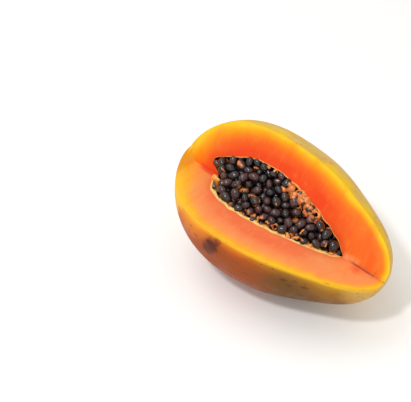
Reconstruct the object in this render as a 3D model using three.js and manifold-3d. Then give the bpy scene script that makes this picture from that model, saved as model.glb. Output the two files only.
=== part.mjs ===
// A papaya lying on its side, with a lengthwise wedge cut out of it, so that its flesh and its heap of
// seeds show. Millimetres, +Z up. The origin is the middle of the flat spot that the fruit rests on.
//
// Each shape is first made in the fruit's own frame: X runs along the fruit from the blossom end to the
// stem end, and Z points out through the middle of the cut wedge. Then it is laid down on its side.

import * as THREE from "three";
import { mergeVertices } from "three/addons/utils/BufferGeometryUtils.js";
import Module from "manifold-3d";

// Fruit body
const LENGTH = 170; // from the blossom end to the stem end
const HALF_LENGTH = LENGTH / 2;
const BODY_RADIUS = 52; // halfway along, before the swell of the belly
const END_ROUNDNESS = 0.6; // 0.5 would be an ellipse, more is more pointed
const TAPER = -0.32; // how much the stem end narrows
const SWELL = [0.1, 0.23, 0.14]; // fullness towards both ends, by the 2nd to 4th power
const SAG = 4.2; // how far the middle of the fruit's axis bows away from the wedge
const SIDE_BOW = 2; // and how far it bows towards the low cut face, less towards the stem end
const SHOULDER_HEIGHT = 2.9; // extra fullness between the middle and the stem end
const SHOULDER_MIDDLE = 0.235; // its place and reach, as shares of the half length
const SHOULDER_REACH = 0.353;
const LOBES = 5; // soft ridges round the fruit, one for each carpel
const LOBE_HEIGHT = 0.45;

// Cut wedge
const STEEP_ANGLE_BLOSSOM = THREE.MathUtils.degToRad(52.5); // of the steep face from Z, at the blossom end
const STEEP_ANGLE_STEM = THREE.MathUtils.degToRad(62); // and at the stem end
const LOW_ANGLE = THREE.MathUtils.degToRad(46); // of the low face from Z
const CREASE_DEPTH_BLOSSOM = 4.7; // of the knife's deepest line behind the axis, at the blossom end
const CREASE_DEPTH_STEM = -0.4; // and at the stem end
const KNIFE_OFFSET = 0.6; // of the steep cut face from the axis
const CURL_START = -76.5; // where the low face starts to curl up to the blossom's scar
const CURL_HEIGHT = 9;
const CURL_POWER = 1.3;
const CREASE_WIDTH = 1; // of the rounded stretch between the cut faces, on each face
const CURL_WIDTH = 8; // how much wider it gets where the low face curls up
const WEDGE_REACH = 140; // of the cutting prism, well past the skin
const WEDGE_OVERRUN = 10; // past the fruit's ends

// Seed cavity
const CAVITY_START = -0.74; // its ends, as shares of the half length
const CAVITY_END = 0.595;
const CAVITY_RADIUS = 24.6;
const CAVITY_TAPER = -0.38;
const CAVITY_ROUNDNESS = 0.63;
const CAVITY_SHIFT = [3, 1.6]; // of its middle from Y = 0 and from the fruit's axis
const CAVITY_LOBE_HEIGHT = 1.1;
const CAVITY_BOSS = 5; // how far the flesh stands into the cavity at its blossom end
const CAVITY_BOSS_RADIUS = 5;
const CAVITY_SKEW = 4.5; // how far that end slants, on each side of its middle
const CAVITY_SKEW_MIDDLE = 4;
const CAVITY_SKEW_WIDTH = 5;
const CAVITY_END_LENGTH = 12; // how far the boss and the slant reach along the cavity

// Heap of seeds
const GAP = 0.5; // between the heap and the flesh
const CORE_GAP = 0.6; // between the heap's core and the flesh
const HEAP_LEVEL = 0.5; // of the heap's top over the cavity's axis, as a share of the cavity's radius
const HEAP_SLOPE = -0.13; // down towards the steep cut face
const SEED_HALF_LENGTH = 3.2;
const SEED_HALF_WIDTH = 2.8;
const SEED_PITCH = 6.1;
const SEED_JITTER = 0.9;
const SEED_LIFT = [0.24, 0.96]; // how far a seed's centre stands over the heap's core, at least and more
const SEED_SIZE = [0.9, 0.2]; // least share of its full size, and how much more it may have
const SEED_TIP = 1.2; // how far a seed's long half leans up or down, in radians
const SEED_MARGIN = 1.9; // from a seed's centre to the cavity's wall, at least

// Pulp along the cavity's edge
const TUFTS_PER_FACE = 12;
const TUFT_LENGTH = 4.2;
const TUFT_THICKNESS = 1.3;
const TUFT_LENGTHS = [0.75, 0.5]; // least share of the length, and how much more it may have
const TUFT_ENDS = [0.12, 0.1]; // first and last tuft from the cavity's ends, as shares of the half length
const TUFT_SCATTER = 0.5; // of a tuft's place, as a share of their pitch
const TUFT_LEAN = 0.8; // along the fruit
const TUFT_REACH = [0.7, 0.3]; // over the seeds, at least and more
const TUFT_RISE = 0.1;
const TUFT_ROOT = 0.45; // how much of its half length a tuft's middle stands off the edge
const TUFT_SINK = 0.6; // how far it is sunk in the flesh, as a share of its thickness

// Scars at the fruit's ends
const BLOSSOM_SCAR_RADIUS = 3;
const BLOSSOM_SCAR_HEIGHT = 1.3;
const BLOSSOM_SCAR_MIDDLE = new THREE.Vector3(-HALF_LENGTH + 0.4, 1.2, 0.9);
const STEM_SCAR_RADIUS = 6.5;
const STEM_SCAR_DEPTH = 1.2;

// How the fruit lies
const STEM_END_DIP = THREE.MathUtils.degToRad(7.8);
const WEDGE_ROLL = THREE.MathUtils.degToRad(30.6); // of the wedge's middle from upright, towards -Y
const AXIS_MIDDLE = new THREE.Vector3(8.6, 0.8, 56.1); // place of the axis's middle over the resting spot

// Fineness of the facets
const BODY_SIDES = 52;
const BODY_STEPS = 36;
const CAVITY_SIDES = 24;
const CAVITY_STEPS = 20;
const CORE_SIDES = 18;
const CORE_STEPS = 14;
const SEED_SIDES = 6;
const SEED_RINGS = 5;
const TUFT_SIDES = 5;
const TUFT_RINGS = 3;
const CREASE_STEPS = 4; // across the rounded stretch between the cut faces
const CURL_STEPS = 8; // along the fruit, where the low face curls up
const WEDGE_STEPS = 8; // along the rest of it
const SCAR_SIDES = 16;
const SCAR_RINGS = 6;

const RANDOM_SEED = 20;
const MERGE_DISTANCE = 1e-3;

const manifold = await Module();
manifold.setup();

// Repeatable random numbers from 0 to 1
function randomSource(seed) {
  let state = seed;
  return () => {
    state = (Math.imul(state, 1664525) + 1013904223) >>> 0;
    return state / 4294967296;
  };
}

// Radius of the whole fruit at t, which runs from -1 at the blossom end to 1 at the stem end
function bodyRadius(t) {
  const [square, cube, fourth] = SWELL;
  const swell = 1 + TAPER * t + square * t ** 2 + cube * t ** 3 + fourth * t ** 4;
  const shoulder = SHOULDER_HEIGHT * Math.exp(-(((t - SHOULDER_MIDDLE) / SHOULDER_REACH) ** 2));
  return BODY_RADIUS * Math.max(1 - t * t, 0) ** END_ROUNDNESS * swell + shoulder * Math.max(1 - t * t, 0);
}

// Place of t along the cavity, from -1 at its blossom end to 1 at its stem end
function cavityShare(t) {
  return (2 * t - CAVITY_START - CAVITY_END) / (CAVITY_END - CAVITY_START);
}

// Radius of the seed cavity at t, or 0 outside it
function cavityRadius(t) {
  const s = cavityShare(t);
  return CAVITY_RADIUS * Math.max(1 - s * s, 0) ** CAVITY_ROUNDNESS * (1 + CAVITY_TAPER * s);
}

// Middle of the fruit at x, on its bowed axis
function axisPoint(x) {
  const t = x / HALF_LENGTH;
  const bow = 1 - t * t;
  return new THREE.Vector3(x, -SIDE_BOW * bow ** 2 * (1 - t), -SAG * bow);
}

// Unit vector that leads from the crease along a cut face: side is 1 for the steep one, -1 for the low one
function faceDirection(x, side) {
  const share = (x / HALF_LENGTH + 1) / 2;
  const steep = THREE.MathUtils.lerp(STEEP_ANGLE_BLOSSOM, STEEP_ANGLE_STEM, share);
  const angle = side > 0 ? steep : LOW_ANGLE;
  return new THREE.Vector3(0, side * Math.sin(angle), Math.cos(angle));
}

// How far the low face has curled up at x, from 0 to 1 at the blossom end
function curlShare(x) {
  return THREE.MathUtils.clamp((CURL_START - x) / (CURL_START + HALF_LENGTH), 0, 1);
}

// Point of the crease, where the two cut faces meet, at x
function creasePoint(x) {
  const share = (x / HALF_LENGTH + 1) / 2;
  const depth = THREE.MathUtils.lerp(CREASE_DEPTH_BLOSSOM, CREASE_DEPTH_STEM, share);
  const across = Math.sin(STEEP_ANGLE_BLOSSOM);
  const up = Math.cos(STEEP_ANGLE_BLOSSOM);
  const straight = new THREE.Vector3(
    x, -depth * across - KNIFE_OFFSET * up, -depth * up + KNIFE_OFFSET * across,
  );
  return straight.addScaledVector(faceDirection(x, 1), CURL_HEIGHT * curlShare(x) ** CURL_POWER);
}

// Middle of the cavity at x, which runs into the crease at both of the cavity's ends
function cavityMiddle(x) {
  const pull = Math.min(cavityShare(x / HALF_LENGTH) ** 2, 1);
  const [across, up] = CAVITY_SHIFT;
  return new THREE.Vector3(x, across, axisPoint(x).z + up).lerp(creasePoint(x), pull);
}

// Round solid along X from one end to the other, with ridges, on a curved middle line
function curvedSpindle(from, to, radiusAt, middleAt, sides, steps, lobeHeight) {
  const profile = [];
  for (let i = 0; i <= steps; i++) {
    const share = (1 - Math.cos((Math.PI * i) / steps)) / 2;
    const x = THREE.MathUtils.lerp(from, to, share);
    const onAxis = i === 0 || i === steps;
    profile.push(new THREE.Vector2(onAxis ? 0 : radiusAt(x / HALF_LENGTH), x));
  }
  const geometry = new THREE.LatheGeometry(profile, sides);
  geometry.rotateZ(-Math.PI / 2);
  const place = geometry.attributes.position;
  for (let i = 0; i < place.count; i++) {
    const x = place.getX(i);
    const y = place.getY(i);
    const z = place.getZ(i);
    const radius = Math.hypot(y, z);
    const ridge = lobeHeight * Math.cos(LOBES * Math.atan2(z, y)) * Math.min(radius / BODY_RADIUS, 1);
    const grown = radius > 0 ? 1 + ridge / radius : 1;
    const middle = middleAt(x);
    place.setXYZ(i, x, middle.y + y * grown, middle.z + z * grown);
  }
  return geometry;
}

// Closed geometry with its shared vertices merged
function mergedGeometry(geometry) {
  const bare = geometry.index ? geometry.toNonIndexed() : geometry.clone();
  bare.deleteAttribute("normal");
  bare.deleteAttribute("uv");
  return mergeVertices(bare, MERGE_DISTANCE);
}

// Closed geometry with its vertices drawn in along their normals
function drawnIn(geometry, inset) {
  const merged = mergedGeometry(geometry);
  merged.computeVertexNormals();
  const { position, normal } = merged.attributes;
  for (let i = 0; i < position.count; i++) {
    const point = new THREE.Vector3().fromBufferAttribute(position, i);
    point.addScaledVector(new THREE.Vector3().fromBufferAttribute(normal, i), -inset);
    position.setXYZ(i, point.x, point.y, point.z);
  }
  return merged;
}

// Solid of a closed geometry, with its collapsed triangles dropped
function solidOf(geometry) {
  const merged = mergedGeometry(geometry);
  const index = merged.index.array;
  const corners = [];
  for (let i = 0; i < index.length; i += 3) {
    const [a, b, c] = index.subarray(i, i + 3);
    if (a !== b && b !== c && c !== a) corners.push(a, b, c);
  }
  return new manifold.Manifold(
    new manifold.Mesh({
      numProp: 3,
      vertProperties: new Float32Array(merged.attributes.position.array),
      triVerts: new Uint32Array(corners),
    }),
  );
}

// Geometry of a solid, ready for a mesh
function geometryOf(solid) {
  const mesh = solid.getMesh();
  const geometry = new THREE.BufferGeometry();
  geometry.setAttribute("position", new THREE.BufferAttribute(new Float32Array(mesh.vertProperties), 3));
  geometry.setIndex(new THREE.BufferAttribute(new Uint32Array(mesh.triVerts), 1));
  geometry.computeVertexNormals();
  return geometry;
}

// Geometry turned and moved from the fruit's own frame to where it lies
function laidDown(geometry) {
  const turn = new THREE.Quaternion().setFromEuler(new THREE.Euler(WEDGE_ROLL, STEM_END_DIP, 0, "YXZ"));
  const lying = new THREE.Matrix4().compose(AXIS_MIDDLE, turn, new THREE.Vector3(1, 1, 1));
  return geometry.clone().applyMatrix4(lying);
}

// Largest single body of a solid, without loose scraps
function largestBody(solid) {
  return solid.decompose().sort((a, b) => b.volume() - a.volume())[0];
}

// The whole fruit's outside
function bodyGeometry() {
  return curvedSpindle(-HALF_LENGTH, HALF_LENGTH, bodyRadius, axisPoint, BODY_SIDES, BODY_STEPS, LOBE_HEIGHT);
}

// Point near the cavity's blossom end, pushed along X where the flesh stands in and where the end slants
function onCavityEnd(point) {
  const crease = creasePoint(point.x);
  const across = point.y - crease.y;
  const away = Math.hypot(across, point.z - crease.z);
  const boss = CAVITY_BOSS * Math.exp(-((away / CAVITY_BOSS_RADIUS) ** 2));
  const slant = CAVITY_SKEW * Math.tanh((across - CAVITY_SKEW_MIDDLE) / CAVITY_SKEW_WIDTH);
  const fade = Math.exp(-(((point.x - CAVITY_START * HALF_LENGTH) / CAVITY_END_LENGTH) ** 2));
  return new THREE.Vector3(point.x + (boss - slant) * fade, point.y, point.z);
}

// The hollow that holds the seeds, smaller all round by inset
function cavityGeometry(inset, sides = CAVITY_SIDES, steps = CAVITY_STEPS) {
  const from = CAVITY_START * HALF_LENGTH;
  const to = CAVITY_END * HALF_LENGTH;
  const geometry = curvedSpindle(from, to, cavityRadius, cavityMiddle, sides, steps, CAVITY_LOBE_HEIGHT);
  const place = geometry.attributes.position;
  for (let i = 0; i < place.count; i++) {
    const { x, y, z } = onCavityEnd(new THREE.Vector3().fromBufferAttribute(place, i));
    place.setXYZ(i, x, y, z);
  }
  return drawnIn(geometry, inset);
}

// Outline of the cut at x, from far out on the steep face to far out on the low one, raised off both by inset
function wedgeSection(x, inset) {
  const steep = faceDirection(x, 1);
  const low = faceDirection(x, -1);
  const halfAngle = steep.angleTo(low) / 2;
  const middle = steep.clone().add(low).normalize();
  const corner = creasePoint(x).addScaledVector(middle, inset / Math.sin(halfAngle));
  const width = CREASE_WIDTH + CURL_WIDTH * curlShare(x);
  const section = [corner.clone().addScaledVector(steep, WEDGE_REACH)];
  for (let i = 0; i <= CREASE_STEPS; i++) {
    const share = i / CREASE_STEPS;
    const point = corner.clone().addScaledVector(steep, width * (1 - share) ** 2);
    section.push(point.addScaledVector(low, width * share ** 2));
  }
  section.push(corner.clone().addScaledVector(low, WEDGE_REACH));
  return section;
}

// Stations of the cutting prism along X, close together where the low face curls up
function wedgeStations() {
  const { lerp } = THREE.MathUtils;
  const end = HALF_LENGTH + WEDGE_OVERRUN;
  const stations = [-end];
  for (let i = 0; i < CURL_STEPS; i++) stations.push(lerp(-HALF_LENGTH, CURL_START, i / CURL_STEPS));
  for (let i = 0; i <= WEDGE_STEPS; i++) stations.push(lerp(CURL_START, end, i / WEDGE_STEPS));
  return stations;
}

// The prism that the knife takes out, raised off both cut faces by inset
function wedgeGeometry(inset) {
  const sections = wedgeStations().map((x) => wedgeSection(x, inset));
  const corners = sections[0].length;
  const index = [];
  for (let i = 0; i < sections.length - 1; i++) {
    for (let j = 0; j < corners; j++) {
      const here = i * corners + j;
      const next = i * corners + ((j + 1) % corners);
      index.push(here, next + corners, next, here, here + corners, next + corners);
    }
  }
  const last = (sections.length - 1) * corners;
  for (let j = 1; j < corners - 1; j++) {
    index.push(0, j, j + 1, last, last + j + 1, last + j);
  }
  const geometry = new THREE.BufferGeometry().setFromPoints(sections.flat());
  geometry.setIndex(index);
  return geometry;
}

// Ellipsoid with its long half along a direction
function ovoid(halfLength, halfWidth, centre, direction, sides, rings) {
  const geometry = new THREE.SphereGeometry(1, sides, rings);
  geometry.rotateX(Math.PI / 2);
  geometry.scale(halfWidth, halfWidth, halfLength);
  const turn = new THREE.Quaternion().setFromUnitVectors(new THREE.Vector3(0, 0, 1), direction);
  geometry.applyQuaternion(turn);
  geometry.translate(centre.x, centre.y, centre.z);
  return geometry;
}

// Point of the cavity's edge on a cut face, at x
function cavityEdge(x, side) {
  const crease = creasePoint(x);
  const direction = faceDirection(x, side);
  const offset = crease.clone().sub(cavityMiddle(x));
  const along = offset.dot(direction);
  const radius = cavityRadius(x / HALF_LENGTH);
  const distance = -along + Math.sqrt(Math.max(along ** 2 - offset.lengthSq() + radius ** 2, 0));
  return onCavityEnd(crease.addScaledVector(direction, distance));
}

// Tufts of pulp that stand out of the cavity's edge over the seeds, larger all round by growth
function tuftSolids(growth) {
  const random = randomSource(RANDOM_SEED + 1);
  const tufts = [];
  for (const side of [1, -1]) {
    for (let i = 0; i < TUFTS_PER_FACE; i++) {
      const share = (i + 0.5 + TUFT_SCATTER * (random() - 0.5)) / TUFTS_PER_FACE;
      const from = CAVITY_START + TUFT_ENDS[0];
      const to = CAVITY_END - TUFT_ENDS[1];
      const root = cavityEdge(THREE.MathUtils.lerp(from, to, share) * HALF_LENGTH, side);
      const along = TUFT_LEAN * (random() - 0.5);
      const over = TUFT_REACH[0] + TUFT_REACH[1] * random();
      const lean = new THREE.Vector3(along, -side * over, TUFT_RISE).normalize();
      const halfLength = (TUFT_LENGTH / 2) * (TUFT_LENGTHS[0] + TUFT_LENGTHS[1] * random());
      const centre = root.clone().addScaledVector(lean, halfLength * TUFT_ROOT);
      centre.z -= TUFT_THICKNESS * TUFT_SINK;
      tufts.push(solidOf(laidDown(
        ovoid(halfLength + growth, TUFT_THICKNESS / 2 + growth, centre, lean, TUFT_SIDES, TUFT_RINGS),
      )));
    }
  }
  return manifold.Manifold.union(tufts);
}

// Height of the heap's top, in the fruit's own frame
function heapTop(x, y) {
  return cavityMiddle(x).z + cavityRadius(x / HALF_LENGTH) * HEAP_LEVEL + y * HEAP_SLOPE;
}

// Core of the heap: the cavity's own shape, with its top pressed down to the heap's level
function heapCore() {
  const geometry = cavityGeometry(CORE_GAP, CORE_SIDES, CORE_STEPS);
  const place = geometry.attributes.position;
  for (let i = 0; i < place.count; i++) {
    const x = place.getX(i);
    const y = place.getY(i);
    place.setZ(i, Math.min(place.getZ(i), heapTop(x, y)));
  }
  return solidOf(laidDown(geometry));
}

// Seeds in staggered rows over the heap's top, each a little out of line and turned its own way
function heapSeeds() {
  const random = randomSource(RANDOM_SEED);
  const seeds = [];
  const rowPitch = SEED_PITCH * Math.sin(Math.PI / 3);
  const start = CAVITY_START * HALF_LENGTH;
  const rows = Math.floor(((CAVITY_END - CAVITY_START) * HALF_LENGTH) / rowPitch);
  const halfColumns = Math.ceil(CAVITY_RADIUS / SEED_PITCH);
  for (let row = 0; row <= rows; row++) {
    for (let column = -halfColumns; column <= halfColumns; column++) {
      const x = start + row * rowPitch + SEED_JITTER * (random() - 0.5);
      const stagger = row % 2 ? 0.5 : 0;
      const y = (column + stagger) * SEED_PITCH + SEED_JITTER * (random() - 0.5);
      const lift = SEED_LIFT[0] + SEED_LIFT[1] * random();
      const size = SEED_SIZE[0] + SEED_SIZE[1] * random();
      const tip = Math.PI / 2 + SEED_TIP * (random() - 0.5);
      const direction = new THREE.Vector3().setFromSphericalCoords(1, tip, 2 * Math.PI * random());
      const place = new THREE.Vector3(x, y, heapTop(x, y) + lift);
      const room = cavityRadius(x / HALF_LENGTH) - SEED_MARGIN;
      if (place.distanceTo(cavityMiddle(x)) > room) continue;
      const centre = onCavityEnd(place);
      seeds.push(solidOf(laidDown(
        ovoid(size * SEED_HALF_LENGTH, size * SEED_HALF_WIDTH, centre, direction, SEED_SIDES, SEED_RINGS),
      )));
    }
  }
  return manifold.Manifold.union(seeds);
}

// What the flesh fills, with its cut faces and its cavity drawn in by inset
function fleshSolid(inset) {
  return solidOf(laidDown(bodyGeometry()))
    .subtract(solidOf(laidDown(wedgeGeometry(inset))))
    .subtract(solidOf(laidDown(cavityGeometry(inset))))
    .add(tuftSolids(inset));
}

// Scar of the blossom, a low bump on the end of the fruit
function blossomScar() {
  const along = new THREE.Vector3(1, 0, 0);
  return ovoid(
    BLOSSOM_SCAR_HEIGHT, BLOSSOM_SCAR_RADIUS, BLOSSOM_SCAR_MIDDLE, along, SCAR_SIDES, SCAR_RINGS,
  );
}

// Scar of the stem, a shallow dish in the other end
function stemScar() {
  const end = new THREE.Vector3(HALF_LENGTH, 0, 0);
  const along = new THREE.Vector3(1, 0, 0);
  return ovoid(STEM_SCAR_DEPTH, STEM_SCAR_RADIUS, end, along, SCAR_SIDES, SCAR_RINGS);
}

// Everything under the surface that the fruit rests on
function underground() {
  const size = 4 * LENGTH;
  const geometry = new THREE.BoxGeometry(size, size, size);
  geometry.translate(0, 0, -size / 2);
  return solidOf(geometry);
}

// Skin and flesh, which grew as one piece
function fruitSolid() {
  const wedge = solidOf(laidDown(wedgeGeometry(0)));
  const scar = solidOf(laidDown(blossomScar())).subtract(wedge);
  const cut = fleshSolid(0)
    .add(scar)
    .subtract(solidOf(laidDown(stemScar())))
    .subtract(underground());
  return largestBody(cut);
}

// Heap of seeds, grown together round its core and clear of the flesh
function seedsSolid() {
  return largestBody(heapCore().add(heapSeeds()).subtract(fleshSolid(GAP)));
}

// Named mesh of a solid in its own material
function part(name, solid, colour, roughness) {
  const material = new THREE.MeshStandardMaterial({ color: colour, roughness, metalness: 0 });
  const mesh = new THREE.Mesh(geometryOf(solid), material);
  mesh.name = name;
  return mesh;
}

const papaya = new THREE.Group();
papaya.add(part("fruit", fruitSolid(), 0xf07a2c, 0.45));
papaya.add(part("seeds", seedsSolid(), 0x241a1a, 0.25));

export default papaya;
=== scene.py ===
"""A ripe papaya lying on its side, with a lengthwise wedge cut out of it.

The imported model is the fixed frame. Its two solids, the fruit and its heap of seeds, are replaced by fine
meshes of the same form, in metres and in the model's own frame.
"""

import logging
import math
from collections.abc import Callable
from dataclasses import dataclass
from enum import Enum

import bmesh
import bpy
import numpy as np
from mathutils import Euler, Matrix, Vector, kdtree


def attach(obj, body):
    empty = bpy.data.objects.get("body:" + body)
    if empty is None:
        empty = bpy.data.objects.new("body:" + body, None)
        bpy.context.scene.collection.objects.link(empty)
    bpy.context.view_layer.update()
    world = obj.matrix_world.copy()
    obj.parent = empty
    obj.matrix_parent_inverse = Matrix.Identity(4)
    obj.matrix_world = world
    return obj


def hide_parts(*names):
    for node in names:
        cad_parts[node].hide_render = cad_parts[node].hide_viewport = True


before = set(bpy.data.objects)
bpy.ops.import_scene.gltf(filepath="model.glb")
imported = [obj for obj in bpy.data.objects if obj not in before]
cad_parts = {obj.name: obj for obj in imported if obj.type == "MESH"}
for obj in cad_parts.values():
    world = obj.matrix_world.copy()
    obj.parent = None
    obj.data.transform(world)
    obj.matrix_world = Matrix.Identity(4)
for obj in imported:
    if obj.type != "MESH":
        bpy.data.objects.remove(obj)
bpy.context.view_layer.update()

LOG = logging.getLogger("papaya")
MM = 0.001
BODY = "root"

Socket = bpy.types.NodeSocket
Point = tuple[float, float, float]
Colour = tuple[float, float, float, float]
Spot = tuple[Point, float, float, Colour]


class Side(Enum):
    """The two cut faces, by the sign of Y that each one leans to in the fruit's own frame."""

    STEEP = 1
    LOW = -1


class Surface(Enum):
    """The fruit's surfaces, by their place among its material slots."""

    SKIN = 0
    STEEP_FACE = 1
    LOW_FACE = 2
    CAVITY = 3


def linear(red: int, green: int, blue: int) -> Colour:
    """Turn a colour as seen on a screen into the renderer's own values.

    Args:
        red: Red from 0 to 255.
        green: Green from 0 to 255.
        blue: Blue from 0 to 255.

    Returns:
        The colour in linear light, with full alpha.
    """
    shown = [channel / 255 for channel in (red, green, blue)]
    light = [c / 12.92 if c <= 0.04045 else ((c + 0.055) / 1.055) ** 2.4 for c in shown]
    return (*light, 1.0)


def ripple(first: np.ndarray, second: np.ndarray, seed: int, octaves: int = 4) -> np.ndarray:
    """Smooth repeatable noise over two coordinates, from -1 to 1.

    Args:
        first: The first coordinate, about one wave for each 2 pi.
        second: The second coordinate, likewise.
        seed: Picks the waves.
        octaves: How many waves of each fineness are summed.

    Returns:
        The noise at each pair of coordinates.
    """
    random = np.random.default_rng(seed)
    total = np.zeros(np.broadcast(first, second).shape)
    weight = 0.0
    for octave in range(octaves):
        strength = 0.6**octave
        for _ in range(3):
            turn, phase = random.uniform(0, 2 * math.pi, 2)
            pace = 1.8**octave * random.uniform(0.7, 1.3)
            wave = pace * (np.cos(turn) * first + np.sin(turn) * second) + phase
            total += strength * np.sin(wave)
        weight += 3 * strength
    return total / weight * 1.8


@dataclass(frozen=True)
class FruitForm:
    """The shape that the fruit, its cut wedge and its cavity share, in the fruit's own frame.

    X runs along the fruit from the blossom end to the stem end, and Z points out through the wedge's middle.
    Angles are measured round X, from Z towards Y.
    """

    half_length: float = 85 * MM
    body_radius: float = 52 * MM
    end_roundness: float = 0.6
    taper: float = -0.32
    swell: tuple[float, float, float] = (0.1, 0.23, 0.14)
    sag: float = 4.2 * MM
    side_bow: float = 2 * MM
    shoulder: float = 2.9 * MM
    shoulder_middle: float = 0.235
    shoulder_reach: float = 0.353
    lobes: int = 5
    lobe_height: float = 0.45 * MM
    steep_angles: tuple[float, float] = (math.radians(52.5), math.radians(62))
    low_angle: float = math.radians(46)
    crease_depths: tuple[float, float] = (4.7 * MM, -0.4 * MM)
    knife_offset: float = 0.6 * MM
    curl_start: float = -76.5 * MM
    curl_height: float = 9 * MM
    curl_power: float = 1.3
    crease_width: float = 1.6 * MM
    curl_width: float = 8 * MM
    cavity_start: float = -0.74
    cavity_end: float = 0.595
    cavity_radius: float = 24.6 * MM
    cavity_taper: float = -0.38
    cavity_roundness: float = 0.63
    cavity_shift: tuple[float, float] = (3 * MM, 1.6 * MM)
    cavity_lobe: float = 1.1 * MM
    cavity_tear: float = 0.55 * MM
    tear_length: float = 2.2 * MM
    boss: float = 5 * MM
    boss_radius: float = 5 * MM
    slant: float = 4.5 * MM
    slant_middle: float = 4 * MM
    slant_width: float = 5 * MM
    cavity_end_length: float = 12 * MM
    corner: float = 2.8 * MM
    corner_across: float = 9.5 * MM
    corner_width: float = 4 * MM
    heap_level: float = 0.5
    heap_slope: float = -0.13
    stem_dip: float = math.radians(7.8)
    wedge_roll: float = math.radians(30.6)
    axis_middle: Point = (8.6 * MM, 0.8 * MM, 56.1 * MM)
    notch: Point = (-70.9 * MM, 0.8 * MM, 31.1 * MM)
    tip: Point = (-53.5 * MM, -6.0 * MM, 2.5 * MM)

    def radius_at(self, x: np.ndarray) -> np.ndarray:
        """Radius of the whole fruit at x, before its ridges.

        Args:
            x: Stations along the fruit.

        Returns:
            The radii.
        """
        t = np.clip(x / self.half_length, -1, 1)
        square, cube, fourth = self.swell
        swell = 1 + self.taper * t + square * t**2 + cube * t**3 + fourth * t**4
        shoulder = self.shoulder * np.exp(-(((t - self.shoulder_middle) / self.shoulder_reach) ** 2))
        inside = np.maximum(1 - t * t, 0)
        return self.body_radius * inside**self.end_roundness * swell + shoulder * inside

    def axis_at(self, x: np.ndarray) -> tuple[np.ndarray, np.ndarray]:
        """Y and Z of the fruit's bowed axis at x."""
        t = x / self.half_length
        return -self.side_bow * (1 - t * t) ** 2 * (1 - t), -self.sag * (1 - t * t)

    def along(self, x: np.ndarray) -> np.ndarray:
        """Place of x along the fruit, from 0 at the blossom end to 1 at the stem end."""
        return (x / self.half_length + 1) / 2

    def curl(self, x: np.ndarray) -> np.ndarray:
        """How far the low face has curled up at x, from 0 to 1 at the blossom end."""
        return np.clip((self.curl_start - x) / (self.curl_start + self.half_length), 0, 1)

    def ray(self, x: np.ndarray, side: Side) -> tuple[np.ndarray, np.ndarray]:
        """Y and Z of the direction that leads from the crease along a cut face.

        Args:
            x: Stations along the fruit.
            side: The cut face.

        Returns:
            The direction's two parts.
        """
        blossom, stem = self.steep_angles
        steep = blossom + (stem - blossom) * self.along(x)
        angle = steep if side is Side.STEEP else self.low_angle + 0 * x
        return side.value * np.sin(angle), np.cos(angle)

    def crease_at(self, x: np.ndarray) -> tuple[np.ndarray, np.ndarray]:
        """Y and Z of the crease, where the two cut faces meet.

        Args:
            x: Stations along the fruit.

        Returns:
            The two coordinates.
        """
        blossom, stem = self.crease_depths
        depth = blossom + (stem - blossom) * self.along(x)
        across, up = math.sin(self.steep_angles[0]), math.cos(self.steep_angles[0])
        ray_y, ray_z = self.ray(x, Side.STEEP)
        lift = self.curl_height * self.curl(x) ** self.curl_power
        y = -depth * across - self.knife_offset * up + lift * ray_y
        return y, -depth * up + self.knife_offset * across + lift * ray_z

    @property
    def cavity_ends(self) -> tuple[float, float]:
        """Stations of the cavity's two ends."""
        return self.cavity_start * self.half_length, self.cavity_end * self.half_length

    def cavity_share(self, x: np.ndarray) -> np.ndarray:
        """Place of x along the cavity, from -1 to 1."""
        start, end = self.cavity_ends
        return (2 * x - start - end) / (end - start)

    def cavity_radius_at(self, x: np.ndarray) -> np.ndarray:
        """Radius of the seed cavity at x, or 0 outside it.

        Args:
            x: Stations along the fruit.

        Returns:
            The radii.
        """
        s = self.cavity_share(x)
        rounded = np.maximum(1 - s * s, 0) ** self.cavity_roundness
        return self.cavity_radius * rounded * (1 + self.cavity_taper * s)

    def cavity_centre_at(self, x: np.ndarray) -> tuple[np.ndarray, np.ndarray]:
        """Y and Z of the cavity's axis, which runs into the crease at both of its ends.

        Args:
            x: Stations along the fruit.

        Returns:
            The two coordinates.
        """
        pull = np.minimum(self.cavity_share(x) ** 2, 1)
        crease_y, crease_z = self.crease_at(x)
        across, up = self.cavity_shift
        return across + (crease_y - across) * pull, (self.axis_at(x)[1] + up) * (1 - pull) + crease_z * pull

    def skin_radius(self, x: np.ndarray, angle: np.ndarray) -> np.ndarray:
        """Radius of the skin, with its soft ridges.

        Args:
            x: Stations along the fruit.
            angle: Angles round the fruit's axis.

        Returns:
            The radii.
        """
        radius = self.radius_at(x)
        ridge = self.lobe_height * np.sin(self.lobes * angle)
        return radius + ridge * np.minimum(radius / self.body_radius, 1)

    def cavity_wall(self, x: np.ndarray, angle: np.ndarray) -> np.ndarray:
        """Radius of the cavity, with its ridges and its torn wall.

        Args:
            x: Stations along the fruit.
            angle: Angles round the cavity's axis.

        Returns:
            The radii.
        """
        radius = self.cavity_radius_at(x)
        ridge = self.cavity_lobe * np.sin(self.lobes * angle) * radius / self.body_radius
        tear = self.cavity_tear * ripple(x / self.tear_length, angle * 6, 11, 3)
        return radius + ridge + tear * np.clip(radius / (4 * MM), 0, 1)

    def centre_of(self, x: np.ndarray, hollow: bool) -> tuple[np.ndarray, np.ndarray]:
        """Y and Z of the cavity's axis, if hollow, or of the fruit's."""
        return self.cavity_centre_at(x) if hollow else self.axis_at(x)

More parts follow.
